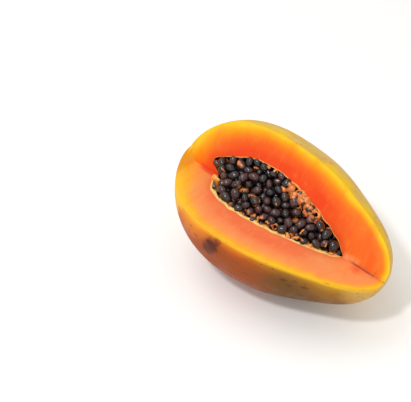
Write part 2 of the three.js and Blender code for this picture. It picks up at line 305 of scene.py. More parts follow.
    def crossings(self, x: np.ndarray, side: Side, hollow: bool) -> np.ndarray:
        """Where a cut face meets the skin or the cavity's wall.

        Args:
            x: Stations along the fruit.
            side: The cut face.
            hollow: True for the cavity's wall, False for the skin.

        Returns:
            The distance from the crease to the outline, or a negative one where the face misses it.
        """
        outline = self.cavity_wall if hollow else self.skin_radius
        centre_y, centre_z = self.centre_of(x, hollow)
        crease_y, crease_z = self.crease_at(x)
        ray_y, ray_z = self.ray(x, side)
        off_y, off_z = crease_y - centre_y, crease_z - centre_z
        middle = -(off_y * ray_y + off_z * ray_z)
        distance = middle
        for _ in range(8):
            angle = np.arctan2(off_y + distance * ray_y, off_z + distance * ray_z)
            inside = outline(x, angle) ** 2 - off_y**2 - off_z**2 + middle**2
            distance = middle + np.sqrt(np.maximum(inside, 0))
        return np.where(inside > 0, distance, -self.half_length)

    def angle_of(self, x: np.ndarray, side: Side, distance: np.ndarray, hollow: bool) -> np.ndarray:
        """Angle of a cut face's point round the fruit's axis or the cavity's.

        Args:
            x: Stations along the fruit.
            side: The cut face.
            distance: How far out from the crease, in metres.
            hollow: True for the cavity's axis, False for the fruit's.

        Returns:
            The angles.
        """
        centre_y, centre_z = self.centre_of(x, hollow)
        crease_y, crease_z = self.crease_at(x)
        ray_y, ray_z = self.ray(x, side)
        return np.arctan2(crease_y + distance * ray_y - centre_y, crease_z + distance * ray_z - centre_z)

    def on_face(self, x: np.ndarray, side: Side, distance: np.ndarray) -> np.ndarray:
        """Points of a cut face, by their distance from the crease, which is rounded off.

        Args:
            x: Stations along the fruit.
            side: The cut face.
            distance: How far out from the crease, in metres.

        Returns:
            The points, with X, Y and Z last.
        """
        crease_y, crease_z = self.crease_at(x)
        own, other = self.ray(x, side), self.ray(x, Side(-side.value))
        reach = np.minimum(self.crossings(x, Side.STEEP, False), self.crossings(x, Side.LOW, False))
        widest = np.maximum(reach, 0) * 0.7 + 1e-6
        width = np.minimum(self.crease_width + self.curl_width * self.curl(x), widest)
        share = np.clip(distance / width, 0, 1)
        outward = np.where(distance < width, width * (1 + share) ** 2 / 4, distance)
        across = width * (1 - share) ** 2 / 4
        y = crease_y + own[0] * outward + other[0] * across
        z = crease_z + own[1] * outward + other[1] * across
        return np.stack(np.broadcast_arrays(x, y, z), -1)

    def heap_top(self, x: np.ndarray, y: np.ndarray) -> np.ndarray:
        """Height of the seed heap's top."""
        return self.cavity_centre_at(x)[1] + self.cavity_radius_at(x) * self.heap_level + self.heap_slope * y

    def end_shift(self, points: np.ndarray) -> np.ndarray:
        """How far along X points move near the cavity's blossom end, where the flesh stands in.

        Args:
            points: Points in the fruit's own frame.

        Returns:
            The shifts, in metres.
        """
        x = points[..., 0]
        crease_y, crease_z = self.crease_at(x)
        across = points[..., 1] - crease_y
        away = np.hypot(across, points[..., 2] - crease_z)
        boss = self.boss * np.exp(-((away / self.boss_radius) ** 2))
        slant = self.slant * np.tanh((across - self.slant_middle) / self.slant_width)
        corner = self.corner * np.exp(-(((across - self.corner_across) / self.corner_width) ** 2))
        start, _ = self.cavity_ends
        return (boss - slant - corner) * np.exp(-(((x - start) / self.cavity_end_length) ** 2))

    def on_cavity_end(self, points: np.ndarray) -> np.ndarray:
        """Points moved along X to fit the cavity's blossom end."""
        return points + self.end_shift(points)[..., None] * (1, 0, 0)

    def slid_face(self, x: np.ndarray, side: Side, distance: np.ndarray, share: np.ndarray) -> np.ndarray:
        """Points of a cut face, slid along it where the cavity's blossom end needs it.

        Args:
            x: Stations along the fruit.
            side: The cut face.
            distance: How far out from the crease, in metres.
            share: Place between the cavity's edge, 0, and the skin, 1.

        Returns:
            The points, with X, Y and Z last.
        """
        shift = self.end_shift(self.on_face(x, side, distance)) * (1 - share)
        return self.on_face(x + shift, side, distance)

    def lying(self) -> Matrix:
        """How the fruit lies: turned from its own frame to the model's."""
        turn = Matrix.Rotation(self.stem_dip, 4, "Y") @ Matrix.Rotation(self.wedge_roll, 4, "X")
        return Matrix.Translation(self.axis_middle) @ turn

    def lay_down(self, points: np.ndarray) -> np.ndarray:
        """Turn and move points from the fruit's own frame to where it lies."""
        lying = np.array(self.lying())
        return points @ lying[:3, :3].T + lying[:3, 3]

    def place(self, point: Point) -> Point:
        """One point of the fruit's own frame, where it lies."""
        return tuple(self.lying() @ Vector(point))


class Shader:
    """Builds the nodes of one material or of one node group."""

    def __init__(self, tree: bpy.types.NodeTree) -> None:
        """Start on an empty tree."""
        self.tree = tree
        tree.nodes.clear()

    def add(self, kind: str, settings: dict | None = None, **inputs) -> bpy.types.Node:
        """Add a node.

        Args:
            kind: The node's type, without the leading ShaderNode.
            settings: The node's own properties.
            **inputs: Its sockets by name, with _ for a space: a value, or another node's output.

        Returns:
            The node.
        """
        node = self.tree.nodes.new("ShaderNode" + kind)
        for name, value in (settings or {}).items():
            setattr(node, name, value)
        self.feed(node, **inputs)
        return node

    def feed(self, node: bpy.types.Node, **inputs) -> None:
        """Set or link a node's sockets by name, with _ for a space."""
        for name, value in inputs.items():
            self.put(node.inputs[name.replace("_", " ")], value)

    def put(self, socket: Socket, value: object) -> None:
        """Set a socket to a value, or link it to another node's output.

        Args:
            socket: The input.
            value: A value or an output, or None to leave the input.
        """
        if isinstance(value, Socket):
            self.tree.links.new(value, socket)
        elif value is not None:
            socket.default_value = value

    def math(self, operation: str, first: object, second: object = None) -> Socket:
        """Do one sum.

        Args:
            operation: The sum's name.
            first: Its first value.
            second: Its second, if it has one.

        Returns:
            The result.
        """
        node = self.add("Math", {"operation": operation})
        self.put(node.inputs[0], first)
        self.put(node.inputs[1], second)
        return node.outputs[0]

    def plus(self, first: object, second: object) -> Socket:
        """Add two values."""
        return self.math("ADD", first, second)

    def minus(self, first: object, second: object) -> Socket:
        """Take the second value from the first."""
        return self.math("SUBTRACT", first, second)

    def times(self, first: object, second: object) -> Socket:
        """Multiply two values."""
        return self.math("MULTIPLY", first, second)

    def over(self, first: object, second: object) -> Socket:
        """Divide the first value by the second."""
        return self.math("DIVIDE", first, second)

    def mix(self, share: object, first: object, second: object) -> Socket:
        """Mix two colours by a share.

        Args:
            share: The second colour's share.
            first: The first colour.
            second: The second.

        Returns:
            The mix.
        """
        node = self.add("Mix", {"data_type": "RGBA"})
        self.put(node.inputs[0], share)
        self.put(node.inputs[6], first)
        self.put(node.inputs[7], second)
        return node.outputs[2]

    def tint(self, colour: object, stain: object, mask: object, strength: object) -> Socket:
        """Mix a colour towards a stain, by a mask of some strength."""
        return self.mix(self.times(mask, strength), colour, stain)

    def spotted(
        self, colour: object, here: object, spots: tuple[Spot, ...], soft: float
    ) -> Socket:
        """Add ragged spots to a colour.

        Args:
            colour: The colour below.
            here: The point's coordinates.
            spots: Places, radii, strengths and colours.
            soft: How far the spots' edges fade inwards.

        Returns:
            The colour with its spots.
        """
        for place, radius, strength, stain in spots:
            mask = self.group("Spot", Vector=here, Centre=place, Radius=radius, Soft=soft)
            colour = self.tint(colour, stain, mask, strength)
        return colour

    def fade(
        self, value: object, low: float, high: float, to_low: float = 0.0, to_high: float = 1.0
    ) -> Socket:
        """Map a value smoothly from one range to another.

        Args:
            value: The value.
            low: Where the change starts.
            high: Where it ends.
            to_low: The result at its start.
            to_high: The result at its end.

        Returns:
            The mapped value.
        """
        node = self.add("MapRange", {"interpolation_type": "SMOOTHSTEP"}, Value=value)
        for name, number in (("From Min", low), ("From Max", high), ("To Min", to_low), ("To Max", to_high)):
            self.put(node.inputs[name], number)
        return node.outputs[0]

    def ramp(self, value: object, stops: list[tuple[float, Colour]]) -> Socket:
        """Colour by a value, through stops of place and colour.

        Args:
            value: The value.
            stops: Places from 0 to 1 and their colours.

        Returns:
            The colour.
        """
        node = self.add("ValToRGB", None, Fac=value)
        elements = node.color_ramp.elements
        for place, _ in stops[2:]:
            elements.new(place)
        for element, (place, colour) in zip(elements, stops, strict=True):
            element.position = place
            element.color = colour
        return node.outputs[0]

    def noise(
        self, vector: object, scale: object, detail: float = 3.0, roughness: float = 0.5
    ) -> Socket:
        """Cloudy noise from 0 to 1.

        Args:
            vector: The point's coordinates.
            scale: Its fineness.
            detail: How many finer layers it has.
            roughness: How strong they are.

        Returns:
            The noise.
        """
        node = self.add("TexNoise", None, Vector=vector, Scale=scale, Detail=detail, Roughness=roughness)
        return node.outputs[0]

    def stretched(self, vector: object, scale: Point) -> Socket:
        """Coordinates turned to the fruit's own frame and stretched along its axes.

        Args:
            vector: The point's coordinates.
            scale: The stretch along each axis.

        Returns:
            The new coordinates.
        """
        turn = FruitForm().lying().to_3x3().inverted().to_euler()
        turned = self.add("Mapping", None, Vector=vector, Rotation=tuple(turn))
        return self.add("Mapping", None, Vector=turned.outputs[0], Scale=scale).outputs[0]

    def here(self) -> Socket:
        """The piece's own coordinates, in metres."""
        return self.add("TexCoord").outputs["Object"]

    def attribute(self, name: str) -> Socket:
        """A value stored on the mesh."""
        return self.add("Attribute", {"attribute_name": name, "attribute_type": "GEOMETRY"}).outputs["Fac"]

    def bump(self, height: object, strength: float, distance: float) -> Socket:
        """A normal from a height."""
        return self.add("Bump", None, Height=height, Strength=strength, Distance=distance).outputs[0]

    def group(self, name: str, **inputs) -> Socket:
        """Place a shared effect with its own values, and give its output.

        Args:
            name: The effect's name.
            **inputs: Its inputs by name.

        Returns:
            Its output.
        """
        node = self.add("Group", {"node_tree": bpy.data.node_groups[name]})
        self.feed(node, **inputs)
        return node.outputs[0]


class Effects:
    """Builds the node groups that more than one material uses."""

    def build(self) -> None:
        """Build every shared effect once."""
        self.speckle()
        self.mottle()
        self.spot()
        self.fibre()

    def start(self, name: str, inputs: dict[str, object], output: str) -> tuple[Shader, dict, bpy.types.Node]:
        """Start a group.

        Args:
            name: The group's name.
            inputs: Its inputs by name: a default number, or None for a vector.
            output: The name of its one output.

        Returns:
            The builder, the group's inputs by name, and its output node.
        """
        tree = bpy.data.node_groups.new(name, "ShaderNodeTree")
        shader = Shader(tree)
        for socket, value in inputs.items():
            kind = "NodeSocketVector" if value is None else "NodeSocketFloat"
            made = tree.interface.new_socket(name=socket, in_out="INPUT", socket_type=kind)
            if value is not None:
                made.default_value = value
        tree.interface.new_socket(name=output, in_out="OUTPUT", socket_type="NodeSocketFloat")
        given = tree.nodes.new("NodeGroupInput")
        return shader, given.outputs, tree.nodes.new("NodeGroupOutput")

    def speckle(self) -> None:
        """Small round flecks, each of its own size, with some left out."""
        shader, given, result = self.start(
            "Speckle", {"Vector": None, "Scale": 200.0, "Size": 0.2, "Density": 0.3}, "Mask"
        )
        cells = shader.add("TexVoronoi", None, Vector=given["Vector"], Scale=given["Scale"])
        chance = shader.add("SeparateColor", None, Color=cells.outputs["Color"])
        size = shader.times(given["Size"], shader.plus(chance.outputs[1], 0.35))
        near = shader.minus(1.0, shader.over(cells.outputs["Distance"], size))
        soft = shader.fade(near, 0.0, 0.6)
        kept = shader.math("LESS_THAN", chance.outputs[0], given["Density"])
        shader.put(result.inputs[0], shader.times(soft, kept))

    def mottle(self) -> None:
        """Soft cloudy patches."""
        shader, given, result = self.start("Mottle", {"Vector": None, "Scale": 40.0, "Level": 0.5}, "Mask")
        cloud = shader.noise(given["Vector"], given["Scale"], 4.0)
        above = shader.minus(cloud, given["Level"])
        shader.put(result.inputs[0], shader.fade(above, -0.12, 0.18))

    def spot(self) -> None:
        """One ragged round patch at a place."""
        inputs = {"Vector": None, "Centre": None, "Radius": 0.01, "Soft": 0.0}
        shader, given, result = self.start("Spot", inputs, "Mask")
        apart = shader.add("VectorMath", {"operation": "DISTANCE"})
        shader.put(apart.inputs[0], given["Vector"])
        shader.put(apart.inputs[1], given["Centre"])
        ragged = shader.noise(given["Vector"], 260.0, 4.0, 0.6)
        distance = shader.over(apart.outputs["Value"], given["Radius"])
        uneven = shader.times(shader.minus(ragged, 0.5), 1.1)
        torn = shader.plus(distance, uneven)
        whole = shader.minus(0.75, given["Soft"])
        shader.put(result.inputs[0], shader.fade(torn, whole, 1.1, 1.0, 0.0))

    def fibre(self) -> None:
        """Fine streaks of wet flesh, long along the given coordinates' X."""
        shader, given, result = self.start("Fibre", {"Vector": None, "Scale": 300.0}, "Height")
        fine = shader.noise(given["Vector"], given["Scale"], 5.0, 0.6)
        broad = shader.noise(given["Vector"], shader.times(given["Scale"], 0.22), 2.0)
        shader.put(result.inputs[0], shader.times(shader.plus(fine, broad), 0.5))


def new_material(name: str) -> tuple[Shader, bpy.types.Node, bpy.types.Material]:
    """Start a material with one principled shader in it.

    Args:
        name: The material's name.

    Returns:
        The node builder, the principled shader and the material.
    """
    material = bpy.data.materials.new(name)
    material.use_nodes = True
    shader = Shader(material.node_tree)
    principled = shader.add("BsdfPrincipled")
    output = shader.add("OutputMaterial")
    shader.put(output.inputs["Surface"], principled.outputs[0])
    return shader, principled, material


@dataclass(frozen=True)
class SkinFinish:
    """Smooth waxy skin: tan and yellow above; orange and golden brown below, darkened towards the underside
    by painted shade; with flecks and bruises.
    """

    form: FruitForm
    tan: Colour = linear(212, 170, 56)
    cream: Colour = linear(220, 190, 108)
    blush: Colour = linear(220, 160, 78)
    yellow: Colour = linear(236, 188, 20)
    rim_yellow: Colour = linear(240, 184, 34)
    olive: Colour = linear(158, 134, 40)
    stem_end: Colour = linear(220, 174, 94)
    fleck: Colour = linear(84, 58, 28)
    bruise: Colour = linear(84, 36, 24)
    cork: Colour = linear(232, 196, 150)
    speck: Colour = linear(116, 96, 70)
    roughness: float = 0.5
    # Distance from the rim over which painted shade darkens the low side.
    low_shade_reach: float = 32 * MM

    def material(self) -> bpy.types.Material:
        """Build the skin's material.

        Returns:
            The material.
        """
        shader, principled, material = new_material("papaya_skin")
        here = shader.here()
        along = shader.stretched(here, (0.35, 1.0, 1.0))
        waver = shader.minus(shader.noise(along, 42.0, 4.0, 0.6), 0.5)
        station, angle = self.own_place(shader, here)
        rim = shader.attribute("rim")
        low_side = self.low_side(shader, angle, waver)
        upper = self.upper(shader, here, along, rim, waver)
        # The low side's colours carry painted shade that darkens towards the underside.
        lower_with_painted_shade = self.lower_with_painted_shade(shader, station, rim, waver)
        colour = shader.mix(low_side, upper, lower_with_painted_shade)
        wavy = shader.plus(station, shader.times(waver, 0.02))
        near_end = shader.times(shader.fade(wavy, 0.066, 0.08), 0.75)
        colour = shader.mix(near_end, colour, self.stem_end)
        rim_width = shader.fade(station, -0.062, -0.05, 0.028, 0.0038)
        from_rim = shader.over(rim, rim_width)
        near_rim = shader.fade(from_rim, 0.1, 1.0, 0.85, 0.0)
        colour = shader.mix(near_rim, colour, self.rim_yellow)
        fine = shader.group("Speckle", Vector=here, Scale=420.0, Size=0.34, Density=0.2)
        colour = shader.tint(colour, self.fleck, fine, 0.45)
        coarse = shader.group("Speckle", Vector=along, Scale=260.0, Size=0.46, Density=0.4)
        clusters = shader.group("Mottle", Vector=here, Scale=38.0, Level=0.48)
        low_flecks = shader.plus(shader.times(low_side, 0.6), 0.3)
        flecks = shader.times(shader.times(coarse, clusters), low_flecks)
        colour = shader.mix(flecks, colour, self.fleck)
        colour = shader.spotted(colour, here, (*self.patches(), *self.scars()), 0.45)
        pores = shader.noise(here, 1400.0, 2.0)
        dents = shader.noise(along, 160.0, 3.0)
        relief = shader.plus(shader.times(pores, 0.35), dents)
        rough = self.roughness
        shader.feed(
            principled,
            Base_Color=colour,
            Normal=shader.bump(relief, 0.35, 0.0006),
            Roughness=shader.fade(shader.noise(here, 90.0), 0.35, 0.65, rough - 0.08, rough + 0.1),
            Specular_IOR_Level=0.1,
            Coat_Weight=0.02,
            Coat_Roughness=0.3,
        )
        return material

    def own_place(self, shader: Shader, here: object) -> tuple[object, object]:
        """Station along the fruit, and angle round it, of the shaded point.

        Args:
            shader: The material's builder.
            here: The point's coordinates.

        Returns:
            The station in metres, and the angle in radians from the wedge's middle towards the steep face.
        """
        centre = self.form.lying().to_3x3().inverted() @ Vector(self.form.axis_middle)
        own = shader.add("SeparateXYZ", None, Vector=shader.stretched(here, (1.0, 1.0, 1.0)))
        across, up = (shader.minus(own.outputs[axis], centre[axis]) for axis in (1, 2))
        station = shader.minus(own.outputs[0], centre[0])
        return station, shader.math("ARCTAN2", across, up)

    def low_side(self, shader: Shader, angle: object, waver: object) -> object:
        """Share of the low side's colours, which carry painted shade, by the angle round the fruit.

        Args:
            shader: The material's builder.
            angle: The point's angle.
            waver: Soft noise round 0 that makes borders wavy.

        Returns:
            The share.
        """
        wavy = shader.plus(angle, shader.times(waver, 1.2))
        starts, ends = shader.fade(wavy, -2.9, -2.2), shader.fade(wavy, -0.45, 0.1, 1.0, 0.0)
        return shader.times(starts, ends)

    def upper(self, shader: Shader, here: object, along: object, rim: object, waver: object) -> object:
        """Colour of the upper and hidden sides: tan and cream, with yellow patches near the rim.

        Args:
            shader: The material's builder.
            here: The point's coordinates.
            along: The coordinates, stretched along the fruit.
            rim: Distance from the rim.
            waver: Soft noise round 0 that makes borders wavy.

        Returns:
            The colour.
        """
        creamy = shader.group("Mottle", Vector=along, Scale=30.0, Level=0.5)
        colour = shader.tint(self.tan, self.cream, creamy, 0.7)
        ruddy = shader.group("Mottle", Vector=here, Scale=70.0, Level=0.52)
        colour = shader.tint(colour, self.blush, ruddy, 0.6)
        patches = shader.group("Mottle", Vector=along, Scale=50.0, Level=0.5)
        wavy = shader.plus(rim, shader.times(waver, 0.02))
        near = shader.fade(wavy, 0.004, 0.022, 1.0, 0.35)
        colour = shader.tint(colour, self.yellow, patches, near)
        greenish = shader.group("Mottle", Vector=along, Scale=66.0, Level=0.6)
        return shader.tint(colour, self.olive, greenish, 0.25)

    def lower_with_painted_shade(self, shader: Shader, station: object, rim: object, waver: object) -> object:
        """Colour of the low side: its own orange and golden brown at the rim, darkened by painted shade with
        its distance from the rim, fastest at the belly.

        Args:
            shader: The material's builder.
            station: The point's station.
            rim: Distance from the rim.
            waver: Soft noise round 0 that makes borders wavy.

        Returns:
            The colour.
        """
        # Both ramps run from the skin's own colour at the rim to painted shade towards the underside.
        orange = [
            (0.0, linear(248, 186, 42)),
            (0.1, linear(236, 154, 36)),
            (0.26, linear(214, 120, 32)),
            (0.6, linear(172, 80, 22)),
            (1.0, linear(152, 72, 24)),
        ]
        golden = [
            (0.0, linear(232, 184, 44)),
            (0.1, linear(186, 134, 38)),
            (0.28, linear(152, 102, 32)),
            (0.7, linear(122, 80, 30)),
            (1.0, linear(110, 72, 28)),
        ]
        from_belly = shader.math("ABSOLUTE", shader.minus(station, 0.01))
        pace = shader.fade(from_belly, 0.018, 0.05, 2.6, 0.9)
        wavy = shader.plus(rim, shader.times(waver, 0.008))
        share = shader.over(shader.times(wavy, pace), self.low_shade_reach)
        stem_side = shader.fade(shader.plus(station, shader.times(waver, 0.03)), 0.0, 0.036)
        return shader.mix(stem_side, shader.ramp(share, orange), shader.ramp(share, golden))

    def patches(self) -> list[Spot]:
        """Places, radii, strengths and colours of the ripe yellow patches and the dark bruises.

        Returns:
            The spots.
        """
        # Station in millimetres, angle in degrees, radius in millimetres, strength, colour
        spots = (
            (-70, 335, 16.0, 0.9, self.rim_yellow),
            (-62, 318, 12.0, 0.8, self.rim_yellow),
            (-28, 60, 9.0, 0.8, self.yellow),
            (16, 58, 10.0, 1.0, self.yellow),
            (28, 61, 9.0, 1.0, self.yellow),
            (50, 62, 8.0, 0.9, self.yellow),
            (-20, 304, 8.0, 0.95, self.bruise),
            (-23, 297, 6.4, 0.85, self.bruise),
            (-16.5, 310, 4.4, 0.6, self.bruise),
            (44, 284, 4.0, 0.45, self.bruise),
            (20, 200, 7.0, 0.4, self.bruise),
            (-12, 120, 5.0, 0.3, self.bruise),
        )
        found = []
        for x_mm, degrees, size_mm, strength, stain in spots:
            x, angle = x_mm * MM, math.radians(degrees)
            reach = float(self.form.skin_radius(np.array(x), np.array(angle)))
            centre_y, centre_z = self.form.axis_at(x)
            centre = (x, centre_y + reach * math.sin(angle), centre_z + reach * math.cos(angle))
            found.append((self.form.place(centre), size_mm * MM, strength, stain))
        return found

    def scars(self) -> list[Spot]:
        """Places, radii, strengths and colours of the corky scars at the fruit's two ends.

        Returns:
            The spots.
        """
        place, end = self.form.place, self.form.half_length
        spots = (
            ((-end, 0, 0), 3.2, 0.8, self.cork),
            (self.form.notch, 2.6, 0.85, self.cork),
            (self.form.notch, 0.9, 0.8, self.speck),
            ((0.982 * end, -4 * MM, -2 * MM), 3.6, 0.25, self.cork),
            ((end, 0, 0), 4.5, 0.4, self.cork),
        )
        return [(place(centre), size_mm * MM, strength, stain) for centre, size_mm, strength, stain in spots]


@dataclass(frozen=True)
class FleshFinish:
    """Wet cut flesh: yellow at the rind, then orange, then red-orange towards the cavity."""

    name: str
    rind: Colour
    band: Colour
    middle: Colour
    inner: Colour
    deep: Colour
    pale: Colour
    lip: Colour
    band_depths: tuple[float, float, float, float, float]
    blossom_share: float
    stem_share: float
    stem_deep: Colour
    marks: tuple[Spot, ...]
    # Painted shade along the crease: a darker red band and a thin dark line.
    crease_shade: Colour = linear(222, 56, 26)
    crease_shade_line: Colour = linear(150, 62, 24)
    roughness: float = 0.38

    def material(self) -> bpy.types.Material:
        """Build the flesh's material.

        Returns:
            The material.
        """
        shader, principled, material = new_material(self.name)
        here = shader.here()
        along = shader.stretched(here, (1.0, 0.25, 0.25))
        waver = shader.minus(shader.noise(here, 55.0, 3.0), 0.5)
        station = shader.add("SeparateXYZ", None, Vector=here).outputs["X"]
        blossom_side = shader.fade(station, -0.062, -0.02, self.blossom_share, 1.0)
        stem_side = shader.fade(station, 0.03, 0.08, 1.0, self.stem_share)
        ripeness = shader.times(blossom_side, stem_side)
        wavy = shader.plus(shader.attribute("rim"), shader.times(waver, 0.0045))
        depth = shader.times(wavy, ripeness)
        last = self.band_depths[-1]
        stops = [place / last for place in self.band_depths]
        colours = (self.rind, self.band, self.middle, self.inner, self.deep)
        share = shader.over(depth, last * MM)
        colour = shader.ramp(share, [(0.0, self.rind), *zip(stops, colours, strict=True)])
        to_stem = shader.times(shader.fade(station, 0.03, 0.068), shader.fade(depth, 0.003, 0.007))
        colour = shader.tint(colour, self.stem_deep, to_stem, 0.85)
        clouds = shader.group("Mottle", Vector=here, Scale=60.0, Level=0.52)
        inner = shader.fade(depth, 0.007, 0.013)
        cloudy = shader.times(shader.times(clouds, inner), 0.5)
        colour = shader.mix(cloudy, colour, self.inner)
        flush = shader.group("Mottle", Vector=along, Scale=110.0, Level=0.56)
        colour = shader.tint(colour, self.deep, flush, 0.3)
        streaks = shader.fade(shader.noise(along, 420.0, 4.0, 0.6), 0.5, 0.72)
        colour = shader.tint(colour, self.pale, streaks, 0.2)
        hollow = shader.attribute("hollow")
        red = shader.fade(hollow, 0.0008, 0.006, 1.0, 0.0)
        colour = shader.tint(colour, self.deep, red, 0.55)
        # A thin lighter line along the cavity's edge: on the steep face a painted highlight, on the low face
        # the edge's own cream colour.
        torn = shader.plus(hollow, shader.times(waver, 0.0012))
        colour = shader.mix(shader.fade(torn, 0.0001, 0.0007, 0.8, 0.0), colour, self.lip)
        # Painted shade in the crease: a darker red band near it, strongest at the blossom part.
        near_crease = shader.fade(shader.attribute("seam"), 0.0006, 0.0042, 1.0, 0.0)
        blossom_part = shader.fade(station, -0.052, -0.04, 1.0, 0.25)
        inside = shader.fade(station, -0.066, -0.058)
        crease_shade = shader.times(shader.times(near_crease, blossom_part), inside)
        colour = shader.tint(colour, self.crease_shade, crease_shade, 0.85)
        colour = shader.spotted(colour, here, self.marks, 1.1)
        # Painted shade: a thin dark line in the crease towards the stem end.
        line = shader.fade(shader.attribute("seam"), 0.0004, 0.0014, 1.0, 0.0)
        starts, ends = shader.fade(station, 0.062, 0.07), shader.fade(station, 0.078, 0.088, 1.0, 0.3)
        colour = shader.tint(colour, self.crease_shade_line, line, shader.times(starts, ends))
        fibre = shader.group("Fibre", Vector=along, Scale=520.0)
        rough = self.roughness
        shader.feed(
            principled,
            Base_Color=colour,
            Normal=shader.bump(fibre, 0.3, 0.0005),
            Roughness=shader.fade(shader.noise(here, 130.0), 0.35, 0.65, rough - 0.08, rough + 0.14),
            Specular_IOR_Level=0.12,
            Subsurface_Weight=0.12,
            Subsurface_Radius=(1.0, 0.35, 0.12),
            Subsurface_Scale=0.002,
            Coat_Weight=0.05,
            Coat_Roughness=0.2,
        )
        return material


@dataclass(frozen=True)
class LiningFinish:
    """The cavity's wet lining, darkened by painted shade so the gaps between seeds look dark: brown-orange
    with dark red painted shadows.
    """

    colour: Colour = linear(170, 78, 30)
    shade: Colour = linear(74, 26, 16)

    def material(self) -> bpy.types.Material:
        """Build the lining's material.

        Returns:
            The material.
        """
        shader, principled, material = new_material("cavity_lining_painted_shade")
        here = shader.here()
        clouds = shader.group("Mottle", Vector=here, Scale=140.0, Level=0.5)
        fibre = shader.group("Fibre", Vector=here, Scale=420.0)
        # Mottled between two colours that both carry painted shade.
        colour = shader.mix(clouds, self.colour, self.shade)
        shader.feed(principled, Base_Color=colour, Normal=shader.bump(fibre, 0.5, 0.0006), Roughness=0.35)
        return material


@dataclass(frozen=True)
class SeedFinish:
    """Near-black seeds in their wet, glossy coats, some browner, some greyer, some stained by pulp."""

    black: Colour = linear(14, 12, 14)
    brown: Colour = linear(68, 38, 38)
    grey: Colour = linear(80, 68, 68)
    stain: Colour = linear(214, 124, 52)

    def material(self) -> bpy.types.Material:
        """Build the seeds' material.

        Returns:
            The material.
        """
        shader, principled, material = new_material("seed_coat")
        here = shader.here()
        colour = shader.mix(shader.fade(shader.attribute("tone"), 0.3, 1.0), self.black, self.brown)
        veil = shader.group("Mottle", Vector=here, Scale=300.0, Level=0.6)
        colour = shader.tint(colour, self.grey, veil, 0.3)
        patch = shader.fade(shader.noise(here, 200.0, 2.0, 0.5), 0.5, 0.64)
        stained = shader.times(patch, shader.attribute("stain"))
        colour = shader.mix(stained, colour, self.stain)
        wrinkles = shader.noise(here, 700.0, 3.0, 0.6)
        shader.feed(
            principled,
            Base_Color=colour,
            Normal=shader.bump(wrinkles, 0.4, 0.0005),
            Roughness=shader.fade(shader.noise(here, 400.0), 0.35, 0.65, 0.12, 0.3),
            Specular_IOR_Level=0.3,
            Coat_Weight=0.9,
            Coat_Roughness=0.1,
        )
        return material


@dataclass(frozen=True)
class PulpFinish:
    """Torn wet pulp, from cream to orange by each scrap's own tone."""

    name: str
    light: Colour
    dark: Colour

    def material(self) -> bpy.types.Material:
        """Build the pulp's material.

        Returns:
            The material.
        """
        shader, principled, material = new_material(self.name)
        here = shader.here()
        clouds = shader.group("Mottle", Vector=here, Scale=400.0, Level=0.5)
        own_tone = shader.times(shader.attribute("tone"), 0.6)
        share = shader.plus(shader.times(clouds, 0.4), own_tone)
        fibre = shader.group("Fibre", Vector=here, Scale=900.0)
        shader.feed(
            principled,
            Base_Color=shader.mix(share, self.light, self.dark),
            Normal=shader.bump(fibre, 0.4, 0.0004),
            Roughness=0.3,
            Subsurface_Weight=0.2,
            Subsurface_Radius=(1.0, 0.45, 0.15),
            Subsurface_Scale=0.0015,
            Coat_Weight=0.25,
            Coat_Roughness=0.15,
        )
        return material


class MeshParts:
    """Gathers vertices and faces, and turns them into one piece."""

    def __init__(self) -> None:
        """Start empty."""
        self.points: list[np.ndarray] = []
        self.faces: list[tuple[int, ...]] = []
        self.slots: list[int] = []
        self.count = 0

    def add(self, points: np.ndarray, faces: list[tuple[int, ...]], slot: int = 0) -> None:
        """Add a patch of vertices and the faces that use them, numbered from the patch's own start.

        Args:
            points: The patch's vertices.
            faces: Its faces.
            slot: The place of their material.
        """
        start = self.count
        self.points.append(points)
        self.faces += [tuple(start + corner for corner in face) for face in faces]
        self.slots += [slot] * len(faces)
        self.count += len(points)

    def add_grid(self, grid: np.ndarray, slot: int = 0) -> None:
        """Add a grid of points, of shape rows by columns by 3, as quads.

        Args:
            grid: The points.
            slot: The place of their material.
        """
        rows, columns, _ = grid.shape
        faces = []
        for row in range(rows - 1):
            for column in range(columns - 1):
                corner = row * columns + column
                faces.append((corner, corner + 1, corner + columns + 1, corner + columns))
        self.add(grid.reshape(-1, 3), faces, slot)

    def build(self, name: str, materials: list[bpy.types.Material], weld: float = 0.0) -> bpy.types.Object:
        """Make the piece.

        Args:
            name: The piece's name.
            materials: Its materials, in the order of the faces' slots.
            weld: Vertices nearer than this are made one, or 0 to leave them.

        Returns:
            The new object, which rides on the fruit's body.
        """
        mesh = bpy.data.meshes.new(name)
        mesh.from_pydata(np.concatenate(self.points).tolist(), [], self.faces)
        mesh.polygons.foreach_set("material_index", self.slots)
        for material in materials:
            mesh.materials.append(material)
        if weld > 0:
            self.weld(mesh, weld)
        mesh.polygons.foreach_set("use_smooth", [True] * len(mesh.polygons))
        mesh.update()
        piece = link_object(name, mesh)
        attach(piece, BODY)
        LOG.info("%s: %d faces", name, len(mesh.polygons))
        return piece

    @staticmethod
    def weld(mesh: bpy.types.Mesh, distance: float) -> None:
        """Make near vertices one, drop what collapses, and turn all faces outwards.

        Args:
            mesh: The mesh.
            distance: How near is near, in metres.
        """
        work = bmesh.new()
        work.from_mesh(mesh)
        bmesh.ops.remove_doubles(work, verts=work.verts, dist=distance)
        bmesh.ops.dissolve_degenerate(work, edges=work.edges, dist=distance / 10)
        bmesh.ops.recalc_face_normals(work, faces=work.faces)
        work.to_mesh(mesh)
        work.free()


def store(piece: bpy.types.Object, name: str, values: np.ndarray) -> None:
    """Store one number for each vertex of a piece, for its material."""
    layer = piece.data.attributes.new(name, "FLOAT", "POINT")
    layer.data.foreach_set("value", np.asarray(values, dtype=np.float32))


def points_of(piece: bpy.types.Object) -> np.ndarray:
    """A piece's vertices."""
    return np.array([vertex.co for vertex in piece.data.vertices], dtype=float)


